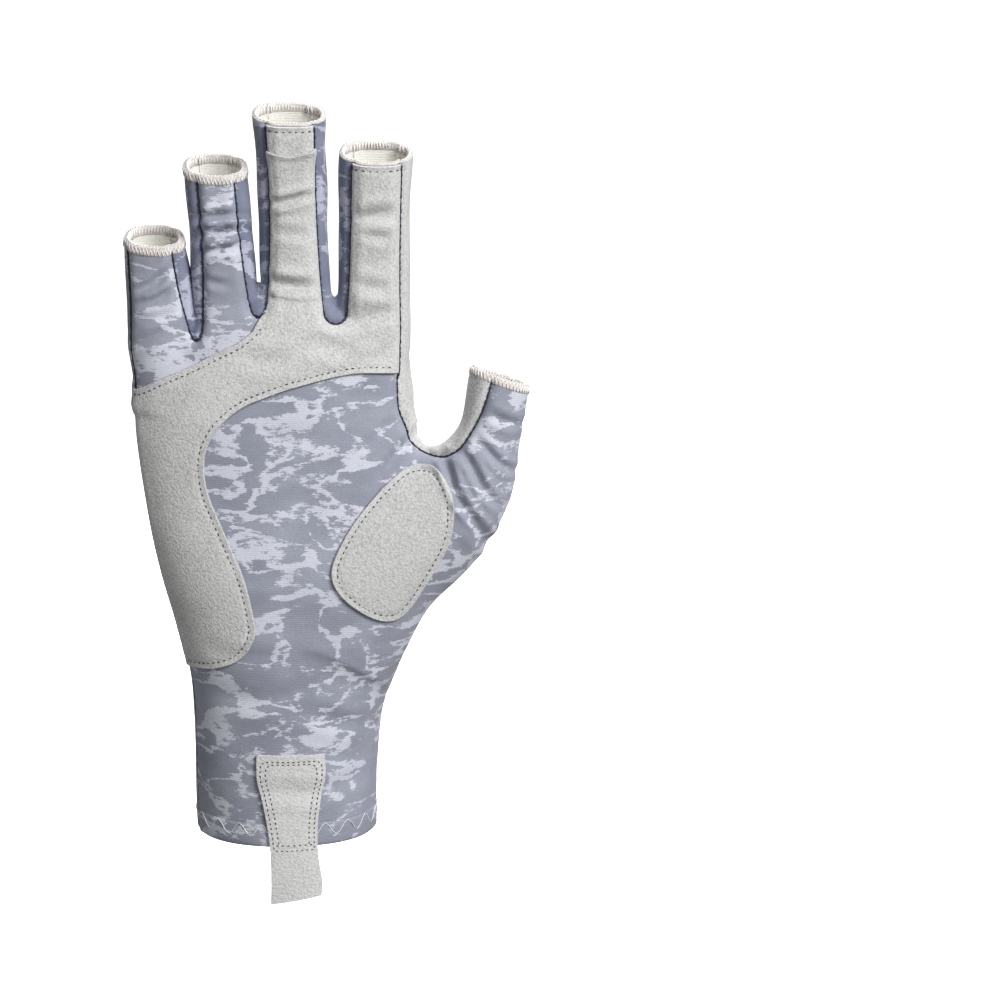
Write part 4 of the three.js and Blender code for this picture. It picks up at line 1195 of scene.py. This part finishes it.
def whereRaysLeave(form, start, ray, near, far, rounds):
    # the points where rays leave a form, by halving: near is a distance inside it and far one outside
    near, far = np.full(len(ray), near), np.full(len(ray), far)
    for _ in range(rounds):
        half = (near + far) / 2
        outside = form(*(start + ray * half[:, None]).T) > 0
        near, far = np.where(outside, near, half), np.where(outside, half, far)
    return start + ray * near[:, None]


def rimPoints(name, drops, turns):
    # points on the hand's surface round a fingertip's opening, dropped along the finger, and their
    # outward directions
    drops, turns = np.broadcast_arrays(drops, turns)
    drops, turns = drops.ravel(), turns.ravel()
    if name == "thumb":
        rim = thumbAt(np.array([1.0]))
        lean = float(rim["lean"][0])
        middle = np.array([rim["x"][0], rim["y"][0], rim["z"][0]])
        steeper = 1
        across, deep = np.array([math.cos(lean), 0, -math.sin(lean)]), np.array([0, 1, 0])
        axis = np.array([math.sin(lean), 0, math.cos(lean)])
    else:
        rim = fingerAt(name, 1)
        middle = np.array([rim["x"], rim["y"], rim["z"]], float)
        steeper = math.hypot(1, hand["rimSlope"])
        across, deep = np.array([1, 0, 0]), np.array([0, 1, hand["rimSlope"]])
        axis = np.array([0, 0, 1])
    start = middle - drops[:, None] * axis * steeper
    ray = np.cos(turns)[:, None] * across + np.sin(turns)[:, None] * deep
    form = thumbField if name == "thumb" else partial(fingerField, name)
    return whereRaysLeave(form, start, ray, 4.0, 15.0, 16), unit(ray)


def ringMesh(name, profile, ringPoints, turns, material, node):
    # a closed profile of places and heights carried round an opening
    turn = np.arange(turns) / turns * 2 * math.pi
    along, height = profile.T
    points, outward = ringPoints(along[None, :], turn[:, None])
    follows = np.where(height > hems["innerBelow"], hems["outerFollows"], hems["innerFollows"])
    lift = np.tile(height, turns) + np.tile(follows, turns) * reliefAt(points)
    points = points + outward * lift[:, None]
    piece = addMesh(name, points, [(gridFaces(turns, len(profile), True), 0)], [material])
    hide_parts(node)
    return piece


def hemProfile(drop, stand, inner, wall):
    # a strip folded over the cloth's edge: outer leg, fold and inner leg, then back along its inside
    depth = -knit["wall"]
    return np.array([
        (drop, 0.02), (drop + 0.04, stand * 0.6), (drop - 0.1, stand), (0.15, stand), (-0.08, stand - 0.12),
        (-0.2, (stand + depth) / 2), (-0.1, depth - wall * 0.4), (0.2, depth - wall - 0.05),
        (inner - 0.2, depth - wall), (inner, depth - wall * 0.5), (inner - 0.1, depth - 0.06),
        (0.3, depth - 0.06), (0.02, depth / 2), (0.3, 0.01),
    ])


def zigzagRound(ringPoints, count, leg, share):
    # a thread round an opening that runs to and fro along a leg of places and heights, count times
    cycle = np.array(leg + leg[-2:0:-1])
    steps = len(cycle) * count
    along, height = np.tile(cycle, (count, 1)).T
    points, outward = ringPoints(along, np.arange(steps) / steps * 2 * math.pi)
    return points + outward * (height + share * reliefAt(points))[:, None], outward, True


allRound = np.arange(200) / 200 * 2 * math.pi
hemLengths = {}
teeth = []
for name in ("little", "ring", "middle", "index", "thumb"):
    kind = hems[hems[name]]
    profile = hemProfile(kind["drop"], kind["stand"], hems["inner"], hems["wall"])
    ring, _ = rimPoints(name, 0 * allRound, allRound)
    hemLengths[name] = lengthOf(np.vstack([ring, ring[:1]]))
    ringPoints = partial(rimPoints, name)
    ringMesh(
        name + "_tip_binding", profile, ringPoints, hems["turns"], binding,
        name + "_tip_hem",
    )
    count = round(hemLengths[name] / hems["toothPitch"])
    inside = -knit["wall"] - hems["wall"] - 0.1
    leg = [(-0.28, -0.5), (-0.15, inside + 0.3), (0.6, inside - 0.05), (2.2, inside)]
    teeth.append(zigzagRound(ringPoints, count, leg, hems["outerFollows"]))
    if hems[name] == "tall":
        leg = [(0.15, kind["stand"] + 0.06), (1.2, kind["stand"] + 0.1), (2.3, kind["stand"] + 0.06)]
        teeth.append(zigzagRound(ringPoints, count, leg, hems["outerFollows"]))
threads("overlock_teeth", teeth, hems["toothRadius"], cream, 5)
print("glove: openings round", {name: round(length, 1) for name, length in hemLengths.items()}, "mm")


def cuffPoints(heights, turns):
    # points on the wrist's surface at given heights
    heights, turns = np.broadcast_arrays(heights, turns)
    heights, turns = heights.ravel(), turns.ravel()
    ray = np.stack([np.cos(turns), np.sin(turns), 0 * turns], 1)
    start = np.stack([0 * heights, 0 * heights, heights], 1)
    return whereRaysLeave(handField, start, ray, 10.0, 45.0, 18), ray


cuff = dict(turns=360, zigzagLow=3.6, middle=6, zigzagHigh=8.0, zigzagPitch=8.4, thread=0.15)
cuffProfile = np.array([
    (8.42, -0.2), (8.3, 0.06), (7, 0.14), (4, 0.16), (1.4, 0.12), (0.4, -0.12), (-0.05, -0.7), (-0.1, -1.4),
    (0.3, -2.1), (1.2, -2.45), (4, -2.5), (7, -2.5), (8.3, -2.4), (8.42, -2.0), (8.42, -1.2),
])[::-1]
cuffFold = ringMesh("cuff_fold", cuffProfile, cuffPoints, cuff["turns"], printed, "cuff_hem")
wornCloth("palm_panel")
wornCloth("back_panel")
cuffRing, _ = cuffPoints(0 * allRound + cuff["middle"], allRound)
cuffRound = lengthOf(np.vstack([cuffRing, cuffRing[:1]]))
leg = [(cuff["zigzagLow"], 0.18), (4.7, 0.24), (6.9, 0.24), (cuff["zigzagHigh"], 0.18)]
cuffThread = zigzagRound(cuffPoints, round(cuffRound / cuff["zigzagPitch"]), leg, 1.0)
threads("cuff_zigzag", [cuffThread], cuff["thread"], white)

print("glove: sewing the tab")
tab = dict(
    along=61, across=28, gap=0.35, wall=1.05, bulge=0.25,
    before=-24,  # y of the line over the glove from which the tab is laid down
    skew=2.6, skewTo=0.15, skewFrom=5.67,  # its lower end is cut at a slant
    hang=0.012, hangPower=1.5,  # below the cuff it hangs away from the hand
    rowInsets=(1.2, 3.0), rowEnds=(-0.6, 1.2),  # the two rows of stitches round it, and their lower ends
)
tabRows = rowsOf(
    "at z left right",
    (0, 32.4, -10.6, 12.4), (0.08, 29, -10.7, 12.9), (0.2, 23.2, -10.3, 12.6), (0.35, 15.8, -8.4, 10.9),
    (0.48, 9.5, -7.2, 10.1), (0.58, 4.4, -6.4, 10), (0.72, -3, -5.5, 10.2), (0.88, -13, -5.3, 11.6),
    (1, -18.2, -5.4, 11.2),
)
at, share = np.meshgrid(
    np.linspace(0, 1, tab["along"]), np.linspace(0, 1, tab["across"]), indexing="ij"
)
left, right, high = (columnAt(tabRows, column, at) for column in ("left", "right", "z"))
high = high + tab["skew"] * (share - 0.5) * np.clip(at / tab["skewTo"] - tab["skewFrom"], 0, 1)
flat = np.stack([left + (right - left) * share, tab["before"] + 0 * at, high], -1).reshape(-1, 3)
place, normal = settle(flat, 3)
row, spot = np.meshgrid(np.arange(tab["along"] - 1), np.arange(tab["across"] - 1), indexing="ij")
corner = (row * tab["across"] + spot).ravel()
below = corner + tab["across"]
faces = np.vstack([np.stack([corner, below, below + 1], 1), np.stack([corner, below + 1, corner + 1], 1)])
hang = tab["hang"] * np.clip(1 - place[:, 2], 0, 30) ** tab["hangPower"]
under = reliefAt(place) + tab["gap"] + hang
cut = dict(place=place, normal=normal)
piece = clothFrom("pull_tab_suede", cut, faces, under + tab["wall"], under, [tabSuede], tab["bulge"])
wornCloth("pull_tab")

print("glove: sewing the seams")


def onFront(points):
    # on the palm side, away from the side seam
    return frontOf(points) > suede["frontFrom"]


sewn = seams["gussets"] + seams["strip"]
threads("seam_cord", [laidAlong(line, 0.1) for line in sewn], radius=0.32, material=navy)
threads("side_seam_cord", [laidAlong(line, 0.3) for line in seams["side"]], radius=0.48, material=navy)
stitches(
    "seam_stitches", sewn, navy, height=0.4, pitch=2.4, length=1.7, width=0.6, lift=besideSuede
)


def onGrip(points):
    # where the patch's edge is sewn down on the palm, and not sewn in with a seam or open at the slit
    sewnIn = insideOf(points, "stripFront", *gussets)
    return onFront(points) & (sewnIn < -suede["offSeams"]) & (belowRims(points) > suede["offSeams"])


def onSuede(points):
    # on the patch or on the tip band, a little inside their edges
    return onFront(points) & (insideOf(points, "patch", "band") > suede["insideEdge"])


patchRow = linesWhere(skin["patch"] - suede["stitchInset"], onGrip)
padRow = linesWhere(skin["pad"] - suede["stitchInset"], onFront)
suedeTop = suede["wall"] + suede["gap"] - 0.3
rimRow = linesWhere(skin["rims"] - suede["rimStitch"], onSuede, shortest=4)
stitches(
    "suede_stitches", patchRow + padRow + rimRow, slate,
    height=suedeTop, pitch=suede["stitchPitch"], length=1.25, width=0.55,
)


thumbBack = dict(insets=(1.3, 3.2), fromX=46, offRim=3.2, offSide=0.5)


def onThumbBack(points):
    # the strip's edge on the back, from the web up to the thumb's opening
    back = frontOf(points) < -thumbBack["offSide"]
    return back & (points[:, 0] > thumbBack["fromX"]) & (belowRims(points) > thumbBack["offRim"])


thumbBackRows = []
for inset in thumbBack["insets"]:
    thumbBackRows += linesWhere(skin["stripBack"] - inset, onThumbBack)
stitches(
    "thumb_back_stitches", thumbBackRows, slate,
    height=0.05, pitch=suede["stitchPitch"], length=1.25, width=0.5,
)


def tabLine(*corners):
    # a line over the tab through points of x and z, brought onto the hand's surface
    line = np.array([(x, tab["before"], z) for x, z in corners], float)
    return settle(evenly(line, 1.0, 0), 3)[0]


def tabSide(inset, low):
    # a row along the tab's left side, its top and its right side
    at = np.linspace(0.05, np.interp(-low, -tabRows["z"], tabRows["at"]), 12)
    left, right, high = (columnAt(tabRows, column, at) for column in ("left", "right", "z"))
    top = tabRows["z"][0] - inset
    corners = [(x + inset, z) for x, z in zip(left[::-1], np.minimum(high, top)[::-1])]
    corners += [(x - inset, z) for x, z in zip(right, np.minimum(high, top))]
    return tabLine(*corners)


outerEnd, innerEnd = tab["rowEnds"]
tabSeams = [
    tabSide(tab["rowInsets"][0], outerEnd), tabSide(tab["rowInsets"][1], innerEnd),
    tabLine((-4.4, innerEnd), (8.6, innerEnd)), tabLine((-4.4, outerEnd), (8.9, outerEnd)),
]
tabTop = tab["gap"] + tab["wall"] - 0.04
stitches("tab_stitches", tabSeams, slate, height=tabTop, pitch=1.7, length=1.1, width=0.52)

print("glove: lights and camera")
view = dict(
    distance=700, elevation=11, target=(0, 0, 115),  # in millimetres and degrees
    focal=2059, offCentre=212, picture=1000,  # in pixels
    sensor=36, farthest=100,
)
stage = dict(floor=-0.06, size=40.0, glow=1.1, soft=0.23, plain=1.05)
# place, height of what it faces, size and power of each lamp
lamps = dict(
    key=((0.6, -0.8, 0.75), 0.11, 0.5, 16),
    fill=((-0.9, -0.8, 0.3), 0.11, 0.9, 1.3),
    top=((0, 0.35, 1.1), 0.15, 0.5, 7),
    behind=((0.2, 1.0, 0.5), 0.12, 0.8, 7),
)


def makeStage():
    # a white floor and a white world, which the camera sees brighter than they light the glove
    white = colour("#ffffff")
    half = stage["size"] / 2
    corners = np.array([(-half, -half), (half, -half), (half, half), (-half, half)])
    mesh = bpy.data.meshes.new("floor")
    mesh.from_pydata([(x, y, stage["floor"]) for x, y in corners], [], [(0, 1, 2, 3)])
    floor = bpy.data.objects.new("floor", mesh)
    bpy.context.collection.objects.link(floor)
    material, tree, _, _ = startMaterial("white studio paper")
    paper = addNode(tree, "ShaderNodeBsdfPrincipled", {
        "Base Color": white, "Roughness": 0.9, "Specular IOR Level": 0.1,
        "Emission Color": white, "Emission Strength": stage["glow"],
    })
    addNode(tree, "ShaderNodeOutputMaterial", {"Surface": paper})
    mesh.materials.append(material)
    floor.visible_diffuse = False
    floor.visible_glossy = False
    world = bpy.data.worlds.new("studio")
    world.use_nodes = True
    tree = world.node_tree
    tree.nodes.clear()
    seen = addNode(tree, "ShaderNodeLightPath", give="Is Camera Ray")
    soft = addNode(tree, "ShaderNodeBackground", {"Color": white, "Strength": stage["soft"]})
    plain = addNode(tree, "ShaderNodeBackground", {"Color": white, "Strength": stage["plain"]})
    both = addNode(tree, "ShaderNodeMixShader", {0: seen, 1: soft, 2: plain})
    addNode(tree, "ShaderNodeOutputWorld", {"Surface": both})
    bpy.context.scene.world = world


def turned(place, right, up, toward):
    # a place and three directions as Blender's matrix
    rows = np.eye(4)
    rows[:3, 0], rows[:3, 1], rows[:3, 2], rows[:3, 3] = right, up, -np.array(toward), place
    return Matrix(rows.tolist())


def addLamp(name, place, height, size, power):
    # a square soft box that faces a point at a height over the wrist opening's middle
    lamp = bpy.data.lights.new(name, "AREA")
    lamp.shape = "SQUARE"
    lamp.size = size
    lamp.energy = power
    piece = bpy.data.objects.new(name, lamp)
    bpy.context.collection.objects.link(piece)
    toward = np.array((0, 0, height), float) - place
    toward /= np.linalg.norm(toward)
    right = np.cross(toward, (0, 0, 1))
    right /= np.linalg.norm(right)
    piece.matrix_world = turned(place, right, np.cross(right, toward), toward)


def makeCamera():
    # looks down on the glove, and is turned so that the glove stands left of the picture's middle
    lift = math.radians(view["elevation"])
    turn = math.atan(view["offCentre"] / view["focal"])
    ahead = np.array([0, math.cos(lift), -math.sin(lift)])
    sideways = np.array([1.0, 0, 0])
    camera = bpy.data.cameras.new("camera")
    camera.sensor_width = view["sensor"]
    camera.lens = view["focal"] * view["sensor"] / view["picture"]
    camera.clip_end = view["farthest"]
    piece = bpy.data.objects.new("camera", camera)
    bpy.context.collection.objects.link(piece)
    place = (np.array(view["target"]) - view["distance"] * ahead) * milli
    toward = ahead * math.cos(turn) + sideways * math.sin(turn)
    right = sideways * math.cos(turn) - ahead * math.sin(turn)
    piece.matrix_world = turned(place, right, (0, math.sin(lift), math.cos(lift)), toward)
    bpy.context.scene.camera = piece


makeStage()
for name, settings in lamps.items():
    addLamp(name, *settings)
makeCamera()
bpy.context.scene.view_settings.view_transform = "Standard"
